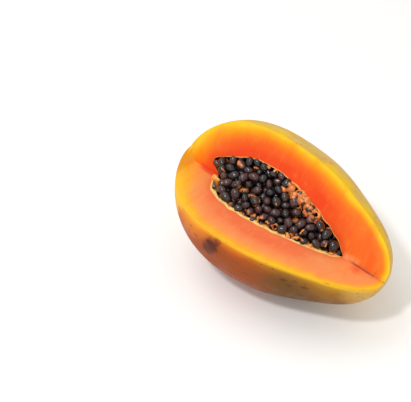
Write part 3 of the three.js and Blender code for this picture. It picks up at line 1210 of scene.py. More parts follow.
def tree_of(points: np.ndarray) -> kdtree.KDTree:
    """Make a tree that finds the nearest of some points.

    Args:
        points: The points.

    Returns:
        The tree, which gives places in the list of points.
    """
    tree = kdtree.KDTree(len(points))
    for index, point in enumerate(points):
        tree.insert(point, index)
    tree.balance()
    return tree


def tube_faces(rows: int, columns: int, first: int = 0) -> list[tuple[int, ...]]:
    """Join rings of points that close round a tube.

    Args:
        rows: How many rings there are.
        columns: How many points each ring has.
        first: The number of the first ring's first point.

    Returns:
        The quads between the rings.
    """
    faces = []
    for row in range(rows - 1):
        for column in range(columns):
            after = (column + 1) % columns
            low = first + row * columns
            high = low + columns
            faces.append((low + column, low + after, high + after, high + column))
    return faces


@dataclass
class Fruit:
    """Skin, cut faces and cavity wall, as one closed mesh."""

    form: FruitForm
    stations: int = 210
    skin_columns: int = 180
    face_columns: int = 44
    cavity_columns: int = 70
    inset: float = 0.2 * MM
    skin_swell: float = 0.35 * MM
    weld: float = 0.02 * MM
    blossom_scar: tuple[float, float] = (1.2 * MM, 0.9 * MM)
    blossom_scar_height: float = 0.8 * MM
    blossom_scar_radius: float = 2.4 * MM
    stem_scar_depth: float = 1.3 * MM
    stem_scar_radius: float = 5.5 * MM
    knob_height: float = 0.9 * MM
    knob_radius: float = 2.2 * MM
    knob_lean: float = 0.6
    groove_depth: float = 1.0 * MM
    groove_radius: float = 4.0 * MM
    groove_width: float = 1.0 * MM

    def switch(self, low: float, high: float) -> float:
        """Find where the cut starts.

        Args:
            low: A station past the cut's end, where the steep face misses the fruit.
            high: A station where it cuts the fruit.

        Returns:
            The station of the change.
        """
        for _ in range(50):
            middle = (low + high) / 2
            cut = self.form.crossings(np.array([middle]), Side.STEEP, False)[0] > 0
            low, high = (low, middle) if cut else (middle, high)
        return high

    def cut_ends(self) -> tuple[float, float]:
        """Stations of the cut's two ends."""
        half = self.form.half_length
        return self.switch(-half, 0.0), self.switch(half, 0.0)

    def stations_along(self, cut: tuple[float, float]) -> np.ndarray:
        """Stations along X, close together at the ends, with one at each end of the cut and of the cavity.

        Args:
            cut: Stations of the cut's two ends.

        Returns:
            The stations in order.
        """
        even = -self.form.half_length * np.cos(np.linspace(0, math.pi, self.stations))
        marks = [*cut, *self.form.cavity_ends]
        far = [x for x in even if min(abs(x - mark) for mark in marks) > 0.05 * MM]
        return np.sort(np.array(far + marks))

    def wall(
        self, x: np.ndarray, ends: tuple[np.ndarray, np.ndarray], share: np.ndarray, hollow: bool
    ) -> np.ndarray:
        """Grid of points round the fruit or its cavity.

        Args:
            x: Stations along the fruit.
            ends: Each station's first angle, and the turn from there to its last.
            share: Places between those angles, from 0 to 1.
            hollow: True for the cavity's wall, False for the skin.

        Returns:
            The grid, station by station.
        """
        start, turn = ends
        angle = start[:, None] + turn[:, None] * share[None, :]
        station = np.repeat(x[:, None], len(share), 1)
        radius = (self.form.cavity_wall if hollow else self.form.skin_radius)(station, angle)
        centre_y, centre_z = self.form.centre_of(station, hollow)
        return np.stack([station, centre_y + radius * np.sin(angle), centre_z + radius * np.cos(angle)], -1)

    def skin(self, x: np.ndarray, cut: tuple[float, float]) -> np.ndarray:
        """Grid of the skin that the cut leaves.

        Args:
            x: Stations along the fruit.
            cut: Stations of the cut's two ends.

        Returns:
            The grid, station by station.
        """
        form = self.form
        uncut = (x < cut[0] + 1e-9) | (x > cut[1] - 1e-9)
        start, end = (
            form.angle_of(x, side, np.where(uncut, 0, np.maximum(form.crossings(x, side, False), 0)), False)
            for side in (Side.STEEP, Side.LOW)
        )
        turn = np.where(uncut, 2 * math.pi, np.mod(end - start, 2 * math.pi))
        return self.wall(x, (start, turn), self.spread(self.skin_columns, 0.15), False)

    def face(self, x: np.ndarray, side: Side, cut: tuple[float, float]) -> np.ndarray:
        """Grid of one cut face, from the crease or the cavity's edge to the skin.

        Args:
            x: Stations along the fruit.
            side: The cut face.
            cut: Stations of the cut's two ends.

        Returns:
            The grid, station by station.
        """
        form = self.form
        x = x[(x >= cut[0] - 1e-9) & (x <= cut[1] + 1e-9)]
        far = np.maximum(form.crossings(x, side, False), 0)
        far[[0, -1]] = 0
        hollow = np.maximum(form.crossings(x, side, True), 0)
        inner = np.minimum(np.where(form.cavity_radius_at(x) > 0, hollow, 0), far)
        share = self.spread(self.face_columns, 0.5)
        distance = inner[:, None] + (far - inner)[:, None] * share[None, :]
        return form.slid_face(x[:, None], side, distance, share[None, :])

    def cavity(self, x: np.ndarray) -> np.ndarray:
        """Grid of the cavity's wall, from its edge on the steep face to its edge on the low one.

        Args:
            x: Stations along the fruit.

        Returns:
            The grid, station by station.
        """
        form = self.form
        first, last = form.cavity_ends
        x = x[(x >= first - 1e-9) & (x <= last + 1e-9)]
        edges = [np.maximum(form.crossings(x, side, True), 0) for side in (Side.STEEP, Side.LOW)]
        start = form.angle_of(x, Side.STEEP, edges[0], True)
        end = form.angle_of(x, Side.LOW, edges[1], True)
        turn = np.mod(end - start, 2 * math.pi)
        grid = form.on_cavity_end(self.wall(x, (start, turn), np.linspace(0, 1, self.cavity_columns), True))
        grid[:, 0] = form.slid_face(x, Side.STEEP, edges[0], 0 * x)
        grid[:, -1] = form.slid_face(x, Side.LOW, edges[1], 0 * x)
        grid[[0, -1], :] = grid[[0, -1], :1]
        return grid

    @staticmethod
    def spread(count: int, crowding: float) -> np.ndarray:
        """Shares from 0 to 1, closer together near both ends as crowding goes from 0 to 1."""
        even = np.linspace(0, 1, count)
        return (1 - crowding) * even + crowding * (1 - np.cos(math.pi * even)) / 2

    def ends_shaped(self, points: np.ndarray) -> np.ndarray:
        """Add the blossom's low bump and the small knob beside it, and the stem's shallow dish.

        Args:
            points: Points in the fruit's own frame.

        Returns:
            The shaped points.
        """
        half = self.form.half_length
        shaped = points.copy()
        from_scar = np.hypot(points[:, 1] - self.blossom_scar[0], points[:, 2] - self.blossom_scar[1])
        bump = self.blossom_scar_height * np.exp(-((from_scar / self.blossom_scar_radius) ** 4))
        bump *= points[:, 0] < -0.95 * half
        away = np.hypot(points[:, 1], points[:, 2])
        dish = self.stem_scar_depth * np.exp(-((away / self.stem_scar_radius) ** 4))
        dish *= points[:, 0] > 0.9 * half
        beside = np.linalg.norm(points - self.form.notch, axis=1)
        knob = self.knob_height * np.exp(-((beside / self.knob_radius) ** 2))
        knob -= self.groove_depth * np.exp(-(((beside - self.groove_radius) / self.groove_width) ** 2))
        shaped[:, 0] -= bump + dish + self.knob_lean * knob
        shaped[:, 2] += self.knob_lean * knob
        return shaped

    def relief(self, points: np.ndarray, skin: np.ndarray) -> np.ndarray:
        """Draw the skin in by soft uneven swells.

        Args:
            points: Points in the fruit's own frame.
            skin: True where a point belongs to the skin.

        Returns:
            The shaped points.
        """
        x = points[:, 0]
        centre = np.stack([x, *self.form.axis_at(x)], -1)
        outward = points - centre
        length = np.maximum(np.linalg.norm(outward, axis=1, keepdims=True), 1e-6)
        angle = np.arctan2(outward[:, 1], outward[:, 2])
        swell = self.inset + self.skin_swell * (0.5 + 0.5 * ripple(x / (16 * MM), 2.2 * np.cos(angle), 3))
        drawn = np.where(skin, swell, 0.0) * np.clip(length[:, 0] / (6 * MM), 0, 1)
        return points - outward / length * drawn[:, None]

    def build(self) -> bpy.types.Object:
        """Build the fruit's mesh and its stored distances.

        Returns:
            The piece.
        """
        form = self.form
        cut = self.cut_ends()
        x = self.stations_along(cut)
        faces = {side: self.face(x, side, cut) for side in Side}
        rim = np.concatenate([face[:, -1] for face in faces.values()])
        edge = np.concatenate([face[form.cavity_radius_at(face[:, 0, 0]) > 0, 0] for face in faces.values()])
        parts = MeshParts()
        parts.add_grid(self.skin(x, cut), Surface.SKIN.value)
        parts.add_grid(faces[Side.STEEP], Surface.STEEP_FACE.value)
        parts.add_grid(faces[Side.LOW], Surface.LOW_FACE.value)
        parts.add_grid(self.cavity(x), Surface.CAVITY.value)
        piece = parts.build("fruit_cut_open", self.materials(), self.weld)
        self.measure(piece, {"rim": rim, "hollow": edge})
        self.settle(piece)
        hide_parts("fruit")
        return piece

    def measure(self, piece: bpy.types.Object, curves: dict[str, np.ndarray]) -> None:
        """Store how far each vertex is from some curves and from the crease.

        Args:
            piece: The fruit's piece.
            curves: Points along each curve, by the name of what is stored.
        """
        points = points_of(piece)
        for name, curve in curves.items():
            tree = tree_of(self.thickened(curve))
            store(piece, name, np.array([tree.find(point)[2] for point in points]))
        crease_y, crease_z = self.form.crease_at(points[:, 0])
        store(piece, "seam", np.hypot(points[:, 1] - crease_y, points[:, 2] - crease_z))

    @staticmethod
    def thickened(curve: np.ndarray) -> np.ndarray:
        """A curve's points with others between them.

        Args:
            curve: The curve's points.

        Returns:
            The points and three more in each gap.
        """
        shares = np.linspace(0, 1, 4, endpoint=False)[:, None, None]
        between = curve[None, :-1] * (1 - shares) + curve[None, 1:] * shares
        near = np.linalg.norm(curve[1:] - curve[:-1], axis=1) < 5 * MM
        return between[:, near].reshape(-1, 3)

    def settle(self, piece: bpy.types.Object) -> None:
        """Shape the surfaces, lay the fruit down, and flatten it where it rests.

        Args:
            piece: The fruit's piece, still in its own frame.
        """
        points = points_of(piece)
        skin = np.zeros(len(points), dtype=bool)
        for polygon in piece.data.polygons:
            if polygon.material_index == Surface.SKIN.value:
                skin[list(polygon.vertices)] = True
        points = self.form.lay_down(self.ends_shaped(self.relief(points, skin)))
        points[:, 2] = np.maximum(points[:, 2], 0.0)
        piece.data.vertices.foreach_set("co", points.reshape(-1))
        piece.data.update()

    def marks(self, side: Side) -> tuple[Spot, ...]:
        """Places, radii, strengths and colours of the pale and red marks on a cut face.

        Args:
            side: The cut face.

        Returns:
            A tuple of marks.
        """
        red, pale = linear(232, 74, 34), linear(240, 166, 104)
        # Station, distance from the crease and radius in millimetres, strength, colour
        spots = {
            Side.STEEP: ((53, 2.0, 3.4, 0.9, pale), (57, 2.4, 3.4, 0.8, pale), (61, 2.8, 3.2, 0.6, pale)),
            Side.LOW: ((64, 4.0, 6.5, 0.9, red), (-34, 12, 9.0, 0.6, red), (44, 17, 12.0, 0.6, pale)),
        }
        found = []
        for station, out, radius, strength, colour in spots[side]:
            point = self.form.on_face(np.array(station * MM), side, np.array(out * MM))
            found.append((self.form.place(tuple(point)), radius * MM, strength, colour))
        return tuple(found)

    def materials(self) -> list[bpy.types.Material]:
        """The four surfaces' finishes, in their order.

        Returns:
            The materials.
        """
        steep = FleshFinish(
            "flesh_steep_face",
            rind=linear(240, 196, 36),
            band=linear(240, 166, 20),
            middle=linear(238, 128, 24),
            inner=linear(236, 98, 30),
            deep=linear(232, 72, 26),
            pale=linear(240, 150, 76),
            # A painted highlight along the cavity's edge.
            lip=linear(240, 140, 50),
            band_depths=(1.6, 4.0, 7.6, 11.5, 18.0),
            blossom_share=0.68,
            stem_share=1.1,
            stem_deep=linear(239, 118, 38),
            marks=self.marks(Side.STEEP),
        )
        # The low face is the same flesh as the steep one: its paler, pinker colours are partly the flesh's
        # own and partly a painted pale reflection of the light from above.
        low = FleshFinish(
            "flesh_low_face_painted_reflection",
            rind=linear(240, 188, 40),
            band=linear(243, 174, 36),
            middle=linear(240, 154, 80),
            inner=linear(239, 142, 84),
            deep=linear(237, 116, 72),
            pale=linear(240, 178, 112),
            lip=linear(242, 180, 100),
            band_depths=(1.2, 3.2, 7.0, 12.0, 19.0),
            blossom_share=0.4,
            stem_share=1.3,
            stem_deep=linear(240, 150, 84),
            marks=self.marks(Side.LOW),
        )
        return [SkinFinish(self.form).material(), steep.material(), low.material(), LiningFinish().material()]


class Walls:
    """The wall of the built fruit's cavity, to keep seeds out of the flesh."""

    def __init__(self, form: FruitForm, piece: bpy.types.Object) -> None:
        """Take the wall's points and normals, turned back to the fruit's own frame.

        Args:
            form: The fruit's form.
            piece: The built fruit.
        """
        lying = np.array(form.lying())
        points = points_of(piece)
        normals = np.zeros_like(points)
        for polygon in piece.data.polygons:
            if polygon.material_index == Surface.CAVITY.value:
                normals[list(polygon.vertices)] += np.array(polygon.normal)
        length = np.linalg.norm(normals, axis=1)
        wall = length > 0
        self.points = (points[wall] - lying[:3, 3]) @ lying[:3, :3]
        self.normals = normals[wall] / length[wall, None] @ lying[:3, :3]
        self.tree = tree_of(self.points)

    def room(self, places: np.ndarray) -> tuple[np.ndarray, np.ndarray]:
        """How far places are out of the flesh, and the way out of it.

        Args:
            places: Points in the fruit's own frame.

        Returns:
            The distances, negative inside the flesh, and the nearest surface's normals.
        """
        nearest = [self.tree.find(place)[1] for place in places]
        normals = self.normals[nearest]
        return ((places - self.points[nearest]) * normals).sum(1), normals


@dataclass
class SeedHeap:
    """The seeds that fill the cavity: layers of single seeds over a dark core."""

    form: FruitForm
    walls: Walls
    half_length: float = 3.9 * MM
    half_width: float = 3.05 * MM
    pitch: float = 6.2 * MM
    layers: int = 3
    layer_drop: float = 3.4 * MM
    scatter: float = 1.3 * MM
    scatter_up: float = 1.3
    first_row: float = 1.5 * MM
    wall_margin: float = 1.0 * MM
    missing: float = 0.16
    smallest: float = 0.8
    largest: float = 1.2
    closeness: float = 0.92
    pushes: int = 60
    push: float = 0.3
    headroom: float = 2.2 * MM
    wall_touch: float = 0.8
    wall_sunk: float = 0.5
    wall_rise: float = 3.6 * MM
    wall_reach: float = 7 * MM
    stained: float = 0.1
    tip_reach: float = 4.6 * MM
    torn_middle: float = 10 * MM
    torn_length: float = 17 * MM
    torn_depth: float = 9 * MM
    unevenness: float = 0.045
    rings: int = 12
    sides: int = 16
    core_rows: int = 40
    core_columns: int = 28
    core_gap: float = 1.5 * MM
    core_drop: float = 1.3
    seed: int = 20

    def top(self, x: np.ndarray, y: np.ndarray) -> np.ndarray:
        """Height of the seeds' middles in the top layer, which climb towards the steep face.

        Args:
            x: Stations along the fruit.
            y: Places across it.

        Returns:
            The heights.
        """
        near = np.clip(1 - (self.steep_edge(x) - y) / self.wall_reach, 0, 1)
        return self.form.heap_top(x, y) + self.wall_rise * near**1.5

    def steep_edge(self, x: np.ndarray) -> np.ndarray:
        """Y of the cavity's edge on the steep face."""
        distance = np.maximum(self.form.crossings(x, Side.STEEP, True), 0)
        return self.form.on_face(x, Side.STEEP, distance)[..., 1]

    def clinging(self, place: np.ndarray) -> float:
        """Chance that pulp clings to a seed, highest along the steep face's torn edge.

        Args:
            place: The seed's centre.

        Returns:
            The chance, from 0 to 1.
        """
        near = np.clip(1.3 - (self.steep_edge(place[0]) - place[1]) / self.torn_depth, 0, 1)
        torn = np.exp(-(((place[0] - self.torn_middle) / self.torn_length) ** 4))
        return self.stained + (0.95 - self.stained) * float(near * torn)

    def places(self) -> tuple[np.ndarray, np.ndarray]:
        """Where the seeds lie and how large they are.

        Returns:
            The seeds' centres in the fruit's own frame, and their sizes as shares.
        """
        random = np.random.default_rng(self.seed)
        form = self.form
        start, end = form.cavity_ends
        row_pitch = self.pitch * math.sin(math.pi / 3)
        centres = []
        for layer in range(self.layers):
            for row, x in enumerate(np.arange(start + self.first_row, end, row_pitch)):
                for y in np.arange(-form.cavity_radius, 1.3 * form.cavity_radius, self.pitch):
                    jitter = random.normal(0, self.scatter, 3) * (1, 1, self.scatter_up)
                    across = y + self.pitch * 0.5 * ((row + layer) % 2) + jitter[1]
                    left_out = layer == 0 and random.uniform() < self.missing
                    if not left_out:
                        centres.append((x + jitter[0], across, jitter[2] - layer * self.layer_drop))
        centres = np.array(centres)
        centres[:, 2] += self.top(centres[:, 0], centres[:, 1])
        centres = centres[self.inside(centres) > self.wall_margin]
        sizes = random.uniform(self.smallest, self.largest, len(centres))
        placed = self.relaxed(form.on_cavity_end(centres), sizes)
        room = self.walls.room(placed)[0]
        from_tip = np.linalg.norm(placed[:, :2] - form.tip[:2], axis=1)
        kept = (room > self.wall_sunk * sizes * self.half_width) & (from_tip > self.tip_reach)
        return placed[kept], sizes[kept]

    def inside(self, centres: np.ndarray) -> np.ndarray:
        """How far each centre is inside the cavity's wall."""
        away = np.hypot(*(centres[:, 1:].T - self.form.cavity_centre_at(centres[:, 0])))
        return self.form.cavity_radius_at(centres[:, 0]) - away

    def relaxed(self, centres: np.ndarray, sizes: np.ndarray) -> np.ndarray:
        """Push seeds apart where they crowd, and out of the flesh where they touch it.

        Args:
            centres: The seeds' centres.
            sizes: Their sizes as shares.

        Returns:
            The new centres.
        """
        radius = sizes * (self.half_length + self.half_width) / 2
        wanted = (radius[:, None] + radius[None]) * self.closeness
        for _ in range(self.pushes):
            gap = centres[:, None] - centres[None]
            distance = np.linalg.norm(gap, axis=2) + np.eye(len(centres))
            push = np.maximum(wanted - distance, 0) / distance
            np.fill_diagonal(push, 0)
            centres = centres + self.push * (gap * push[:, :, None]).sum(1)
            top = self.top(centres[:, 0], centres[:, 1]) + self.headroom
            centres[:, 2] -= 0.5 * np.maximum(centres[:, 2] - top, 0)
            room, way_out = self.walls.room(centres)
            centres += way_out * np.maximum(self.wall_touch * radius - room, 0)[:, None]
        return centres

    def one_seed(self) -> tuple[np.ndarray, list[tuple[int, ...]]]:
        """A seed's points and faces: a plump drop, pointed at one end, with its long half 1.

        Returns:
            The points and faces.
        """
        points = [(0.0, 0.0, -1.0)]
        for ring in range(1, self.rings):
            height = -math.cos(math.pi * ring / self.rings)
            width = math.sin(math.pi * ring / self.rings) * (1 - 0.1 * height)
            for side in range(self.sides):
                angle = 2 * math.pi * side / self.sides
                points.append((width * math.cos(angle), width * math.sin(angle), height))
        points.append((0.0, 0.0, 1.0))
        faces = tube_faces(self.rings - 1, self.sides, 1)
        last = len(points) - 1
        for side in range(self.sides):
            after = (side + 1) % self.sides
            faces.append((0, 1 + after, 1 + side))
            faces.append((last, last - self.sides + side, last - self.sides + after))
        return np.array(points), faces

    def build(self) -> tuple[bpy.types.Object, np.ndarray]:
        """Build the heap.

        Returns:
            The piece, and the seeds' centres in the fruit's own frame.
        """
        centres, sizes = self.places()
        random = np.random.default_rng(self.seed + 1)
        template, faces = self.one_seed()
        parts = MeshParts()
        tones, stains = [], []
        for centre, size in zip(centres, sizes, strict=True):
            turn = np.array(Euler(random.uniform(0, 2 * math.pi, 3)).to_matrix())
            long, wide = size * self.half_length, size * self.half_width * random.uniform(0.92, 1.05)
            across, along = template[:, 0] * 3 + size * 50, template[:, 2] * 3 + template[:, 1] * 2
            lumps = 1 + self.unevenness * ripple(across, along, 5, 3)
            shaped = template * lumps[:, None] * np.array([wide, wide * random.uniform(0.9, 1.0), long])
            parts.add(self.form.lay_down(shaped @ turn.T + centre), faces)
            tones += [random.uniform() ** 1.2] * len(template)
            stains += [float(random.uniform() < self.clinging(centre))] * len(template)
        core, core_faces = self.core()
        parts.add(self.form.lay_down(core), core_faces)
        tones += [0.0] * len(core)
        stains += [0.0] * len(core)
        piece = parts.build("seed_heap", [SeedFinish().material()])
        store(piece, "tone", np.array(tones))
        store(piece, "stain", np.array(stains))
        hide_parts("seeds")
        LOG.info("seed_heap: %d seeds", len(centres))
        return piece, centres

    def core(self) -> tuple[np.ndarray, list[tuple[int, ...]]]:
        """The dark inside of the heap, below the single seeds.

        Returns:
            The points and faces.
        """
        form = self.form
        rows, columns = self.core_rows, self.core_columns
        start, end = form.cavity_ends
        points = []
        for row in range(rows):
            x = np.full(columns, start + (end - start) * (0.02 + 0.96 * row / (rows - 1)))
            angle = np.linspace(0, 2 * math.pi, columns, endpoint=False)
            radius = np.maximum(form.cavity_radius_at(x) - self.core_gap, 0.1 * MM)
            centre_y, centre_z = form.cavity_centre_at(x)
            y = centre_y + radius * np.sin(angle)
            highest = form.heap_top(x, y) - self.core_drop * self.layer_drop
            points.append(np.stack([x, y, np.minimum(centre_z + radius * np.cos(angle), highest)], -1))
        faces = tube_faces(rows, columns)
        faces.append(tuple(range(columns)))
        faces.append(tuple(reversed(range((rows - 1) * columns, rows * columns))))
        return form.on_cavity_end(np.concatenate(points)), faces


class Scrap(Enum):
    """The two kinds of torn pulp, by how much darker than the palest each one is."""

    LUMP = 0.3
    CURL = 0.0


@dataclass(frozen=True)
class Cluster:
    """A loose row of scraps along one edge of the cavity; its middle, spread and depth are in millimetres."""

    kind: Scrap
    count: int
    side: Side
    middle: float
    spread: float
    depth: float
    scale: float


class PulpParts(MeshParts):
    """Gathers scraps of pulp that are laid down with the fruit, each with a tone of its own."""

    def __init__(self, form: FruitForm) -> None:
        """Start empty, for a fruit's form.

        Args:
            form: The fruit's form.
        """
        super().__init__()
        self.form = form
        self.tones: list[float] = []

    def add_scrap(self, grid: np.ndarray, tone: float) -> None:
        """Add one closed grid, given in the fruit's own frame."""
        self.add_grid(self.form.lay_down(grid))
        self.tones += [tone] * (grid.shape[0] * grid.shape[1])

    def finished(self, name: str, finish: PulpFinish) -> bpy.types.Object:
        """Make the piece, and store its tones.

        Args:
            name: The piece's name.
            finish: The look of its pulp.

        Returns:
            The piece.
        """
        piece = self.build(name, [finish.material()])
        store(piece, "tone", np.array(self.tones))
        return piece


@dataclass
class Pulp:
    """Torn pulp: ragged edges round the cavity, wet lumps and curls along the steep face, and loose rags."""

    form: FruitForm
    ribbon_steps: int = 420
    ribbon_margin: float = 0.4 * MM
    ribbon_taper: float = 4 * MM
    strip_sides: int = 8
    lump_rings: int = 12
    lump_sides: int = 16
    tear_middle: float = 9 * MM
    tear_length: float = 17 * MM
    scrap_range: tuple[float, float] = (-58 * MM, 44 * MM)
    scrap_rise: tuple[float, float] = (2.0 * MM, 3.6 * MM)
    scrap_drop: float = 0.3 * MM
    scrap_slope: float = 0.25
    wrinkle: float = 0.16
    rag_count: int = 16
    rag_radius: float = 3.35 * MM
    rag_wave: float = 0.15 * MM
    rag_thickness: float = 0.4 * MM
    rag_depth: float = 1.0 * MM
    seed: int = 7
    clusters: tuple[Cluster, ...] = (
        Cluster(Scrap.LUMP, 20, Side.STEEP, middle=8, spread=9, depth=7.5, scale=1.0),
        Cluster(Scrap.CURL, 13, Side.STEEP, middle=9, spread=9, depth=9.5, scale=1.1),
        Cluster(Scrap.CURL, 3, Side.STEEP, middle=-22, spread=6, depth=2.5, scale=0.7),
        Cluster(Scrap.LUMP, 8, Side.LOW, middle=-4, spread=14, depth=4.5, scale=0.6),
        Cluster(Scrap.CURL, 14, Side.LOW, middle=-6, spread=17, depth=5.0, scale=0.8),
        Cluster(Scrap.CURL, 5, Side.LOW, middle=27, spread=7, depth=3.0, scale=0.7),
    )
    # Offset from the tip and half sizes in millimetres, and tone
    tip_lumps: tuple[tuple[Point, Point, float], ...] = (
        ((-3.0, 0.4, -1.8), (2.8, 2.2, 2.4), 0.75),
        ((-1.2, 0.2, 0.0), (2.2, 1.9, 2.4), 0.7),
        ((0.4, 0.2, 0.6), (1.3, 1.1, 2.0), 0.0),
    )

    def edge_point(self, x: np.ndarray, side: Side, out: np.ndarray) -> np.ndarray:
        """Points of a cut face near the cavity's edge.

        Args:
            x: Stations along the fruit, before the cavity's end is slanted.
            side: The cut face.
            out: How far from the edge towards the skin, in metres.

        Returns:
            The points, in the fruit's own frame.
        """
        distance = np.maximum(self.form.crossings(x, side, True), 0) + out
        return self.form.slid_face(x, side, distance, 0 * x)

    def torn(self, x: np.ndarray) -> np.ndarray:
        """How badly the steep face's edge is torn at x, from 0 to 1."""
        return np.exp(-(((x - self.tear_middle) / self.tear_length) ** 4))

    def strip(
        self, path: np.ndarray, width: np.ndarray, thickness: np.ndarray, flat: np.ndarray
    ) -> np.ndarray:
        """A flat strip along a path.

        Args:
            path: Points along its middle.
            width: Its width at each point.
            thickness: Its thickness at each point.
            flat: The direction that its flat side faces.

        Returns:
            A closed grid of points, ring by ring.
        """
        forward = np.gradient(path, axis=0)
        across = np.cross(forward, flat)
        across /= np.linalg.norm(across, axis=1, keepdims=True)
        upward = np.cross(across, forward)
        upward /= np.linalg.norm(upward, axis=1, keepdims=True)
        angle = np.linspace(0, 2 * math.pi, self.strip_sides + 1)[None, :, None]
        wide = np.cos(angle) * (across * width[:, None] / 2)[:, None, :]
        thick = np.sin(angle) * (upward * thickness[:, None] / 2)[:, None, :]
        return path[:, None, :] + wide + thick

    def ribbon(self, side: Side, reach: np.ndarray, drop: float, out: float, lift: float) -> np.ndarray:
        """A thin ragged membrane along one of the cavity's edges.

        Args:
            side: The cut face that it hangs from.
            reach: How far it stands over the cavity at each step along the edge.
            drop: How far its inner edge hangs down for each unit of reach.
            out: How far it lies out on the cut face.
            lift: How far it stands off the cut face.

        Returns:
            A closed grid of points, ring by ring.
        """
        form = self.form
        start, end = form.cavity_ends
        x = np.linspace(start + self.ribbon_margin, end - self.ribbon_margin, len(reach))
        fade = np.clip(np.minimum(x - start, end - x) / self.ribbon_taper, 0.05, 1)
        edge = self.edge_point(x, side, 0 * x)
        outer = self.edge_point(x, side, out * fade)
        inward = edge - outer
        inward /= np.maximum(np.linalg.norm(inward, axis=1, keepdims=True), 1e-9)
        inward[:, 2] *= 0.3
        tip = edge + inward * (reach * fade)[:, None]
        tip[:, 2] -= drop * reach * fade
        raised = np.array([0.0, 0.0, lift])
        above = [(outer + edge) / 2 + raised, edge + raised, (edge * 0.6 + tip * 0.4) + raised * 0.8]
        below = [(edge * 0.5 + tip * 0.5) - raised * 1.2, edge - raised * 1.5, outer - raised * 1.5]
        return np.stack([outer, *above, tip, *below, outer], 1)

    def ragged(self, low: float, high: float, pattern: int) -> np.ndarray:
        """Reach along an edge that changes raggedly between two sizes.

        Args:
            low: The least.
            high: About the most.
            pattern: Picks the waves.

        Returns:
            The reach at each step, in millimetres.
        """
        step = np.arange(self.ribbon_steps)
        coarse = 0.5 + 0.5 * ripple(step / 9, 0 * step, pattern, 2)
        fine = 0.5 + 0.5 * ripple(step / 2.2, 0 * step, pattern + 1, 3)
        return low + (high - low) * np.clip(0.6 * coarse + 0.4 * fine, 0, 1.2) ** 1.6

    def edges(self) -> bpy.types.Object:
        """Build the pale membrane along the low face's edge and the thin lip along the steep one's.

        Returns:
            The piece.
        """
        parts = PulpParts(self.form)
        torn = self.torn(np.linspace(*self.form.cavity_ends, self.ribbon_steps))
        # Face, reach, drop for each unit of reach, place out on the face, lift off it, tone
        ribbons = (
            (Side.LOW, self.ragged(0.1, 3.4, 31), -0.35, 1.1, 0.2, 0.0),
            (Side.LOW, self.ragged(0.2, 4.6, 41), -0.15, 0.6, 0.14, 0.4),
            (Side.LOW, self.ragged(0.4, 5.6, 71), 0.15, 0.2, 0.1, 0.85),
            (Side.STEEP, self.ragged(0.05, 0.5, 51) + 1.2 * torn, 0.5, 0.3, 0.1, 0.55),
            (Side.STEEP, self.ragged(0.1, 1.0, 61) * (0.4 + 3.4 * torn), 0.9, 0.1, 0.1, 1.0),
        )
        for side, reach, drop, out, lift, tone in ribbons:
            parts.add_scrap(self.ribbon(side, reach * MM, drop, out * MM, lift * MM), tone)
        random = np.random.default_rng(self.seed)
        for offset, size, tone in self.tip_lumps:
            centre = np.array(self.form.tip) + np.array(offset) * MM
            parts.add_scrap(self.lump(centre, np.array(size) * MM, random), tone)
        finish = PulpFinish("pulp_edge", light=linear(255, 208, 112), dark=linear(246, 126, 38))
        return parts.finished("pulp_edges", finish)

    def lump(self, centre: np.ndarray, size: np.ndarray, random: np.random.Generator) -> np.ndarray:
        """A closed grid of one wrinkled lump.

        Args:
            centre: Its middle.
            size: Its half sizes along its own axes.
            random: Where its turn and wrinkles come from.

        Returns:
            The grid of points, ring by ring.
        """
        polar = np.linspace(0, math.pi, self.lump_rings)[:, None]
        round_ = np.linspace(0, 2 * math.pi, self.lump_sides + 1)[None, :]
        x, y, z = np.sin(polar) * np.cos(round_), np.sin(polar) * np.sin(round_), np.cos(polar) + 0 * round_
        unit = np.stack([x, y, z], -1)
        pattern = int(random.integers(1, 10_000))
        first, second = unit[..., 0] * 4 + unit[..., 2] * 2, unit[..., 1] * 4 - unit[..., 2] * 2
        wrinkle = 1 + self.wrinkle * ripple(first, second, pattern, 2)
        turn = np.array(Euler(random.uniform(0, 2 * math.pi, 3)).to_matrix())
        return (unit * wrinkle[..., None] * size) @ turn.T + centre

    def curl(self, centre: np.ndarray, radius: float, random: np.random.Generator) -> np.ndarray:
        """A closed grid of one curled scrap of a seed's torn sac.

        Args:
            centre: The middle of its curl.
            radius: The curl's radius.
            random: Where its length, width and lean come from.

        Returns:
            The grid of points, ring by ring.
        """
        arc = random.uniform(2.2, 4.8)
        angle = random.uniform(0, 2 * math.pi) + np.linspace(0, arc, 16)
        lean = np.array([random.normal(0, 0.5), -0.5 + random.normal(0, 0.4), 1.0])
        lean /= np.linalg.norm(lean)
        first = np.cross(lean, (1.0, 0.2, 0.0))
        first /= np.linalg.norm(first)
        second = np.cross(lean, first)
        swell = radius * (1 + 0.2 * np.sin(angle * 2 + random.uniform(0, 6)))
        path = centre + (np.cos(angle) * swell)[:, None] * first + (np.sin(angle) * swell)[:, None] * second
        share = np.linspace(0, 1, len(angle))
        plump = np.sqrt(np.maximum(1 - (2 * share - 1) ** 4, 0)) + 0.03
        width = random.uniform(1.5, 2.7) * MM * plump * (1 + 0.2 * np.sin(share * 7))
        flat = np.cross(np.gradient(path, axis=0), lean) * random.uniform(0.3, 1.0)
        flat = flat / np.linalg.norm(flat, axis=1, keepdims=True) + lean * 0.6
        return self.strip(path, width, random.uniform(0.5, 0.9) * MM * plump, flat)

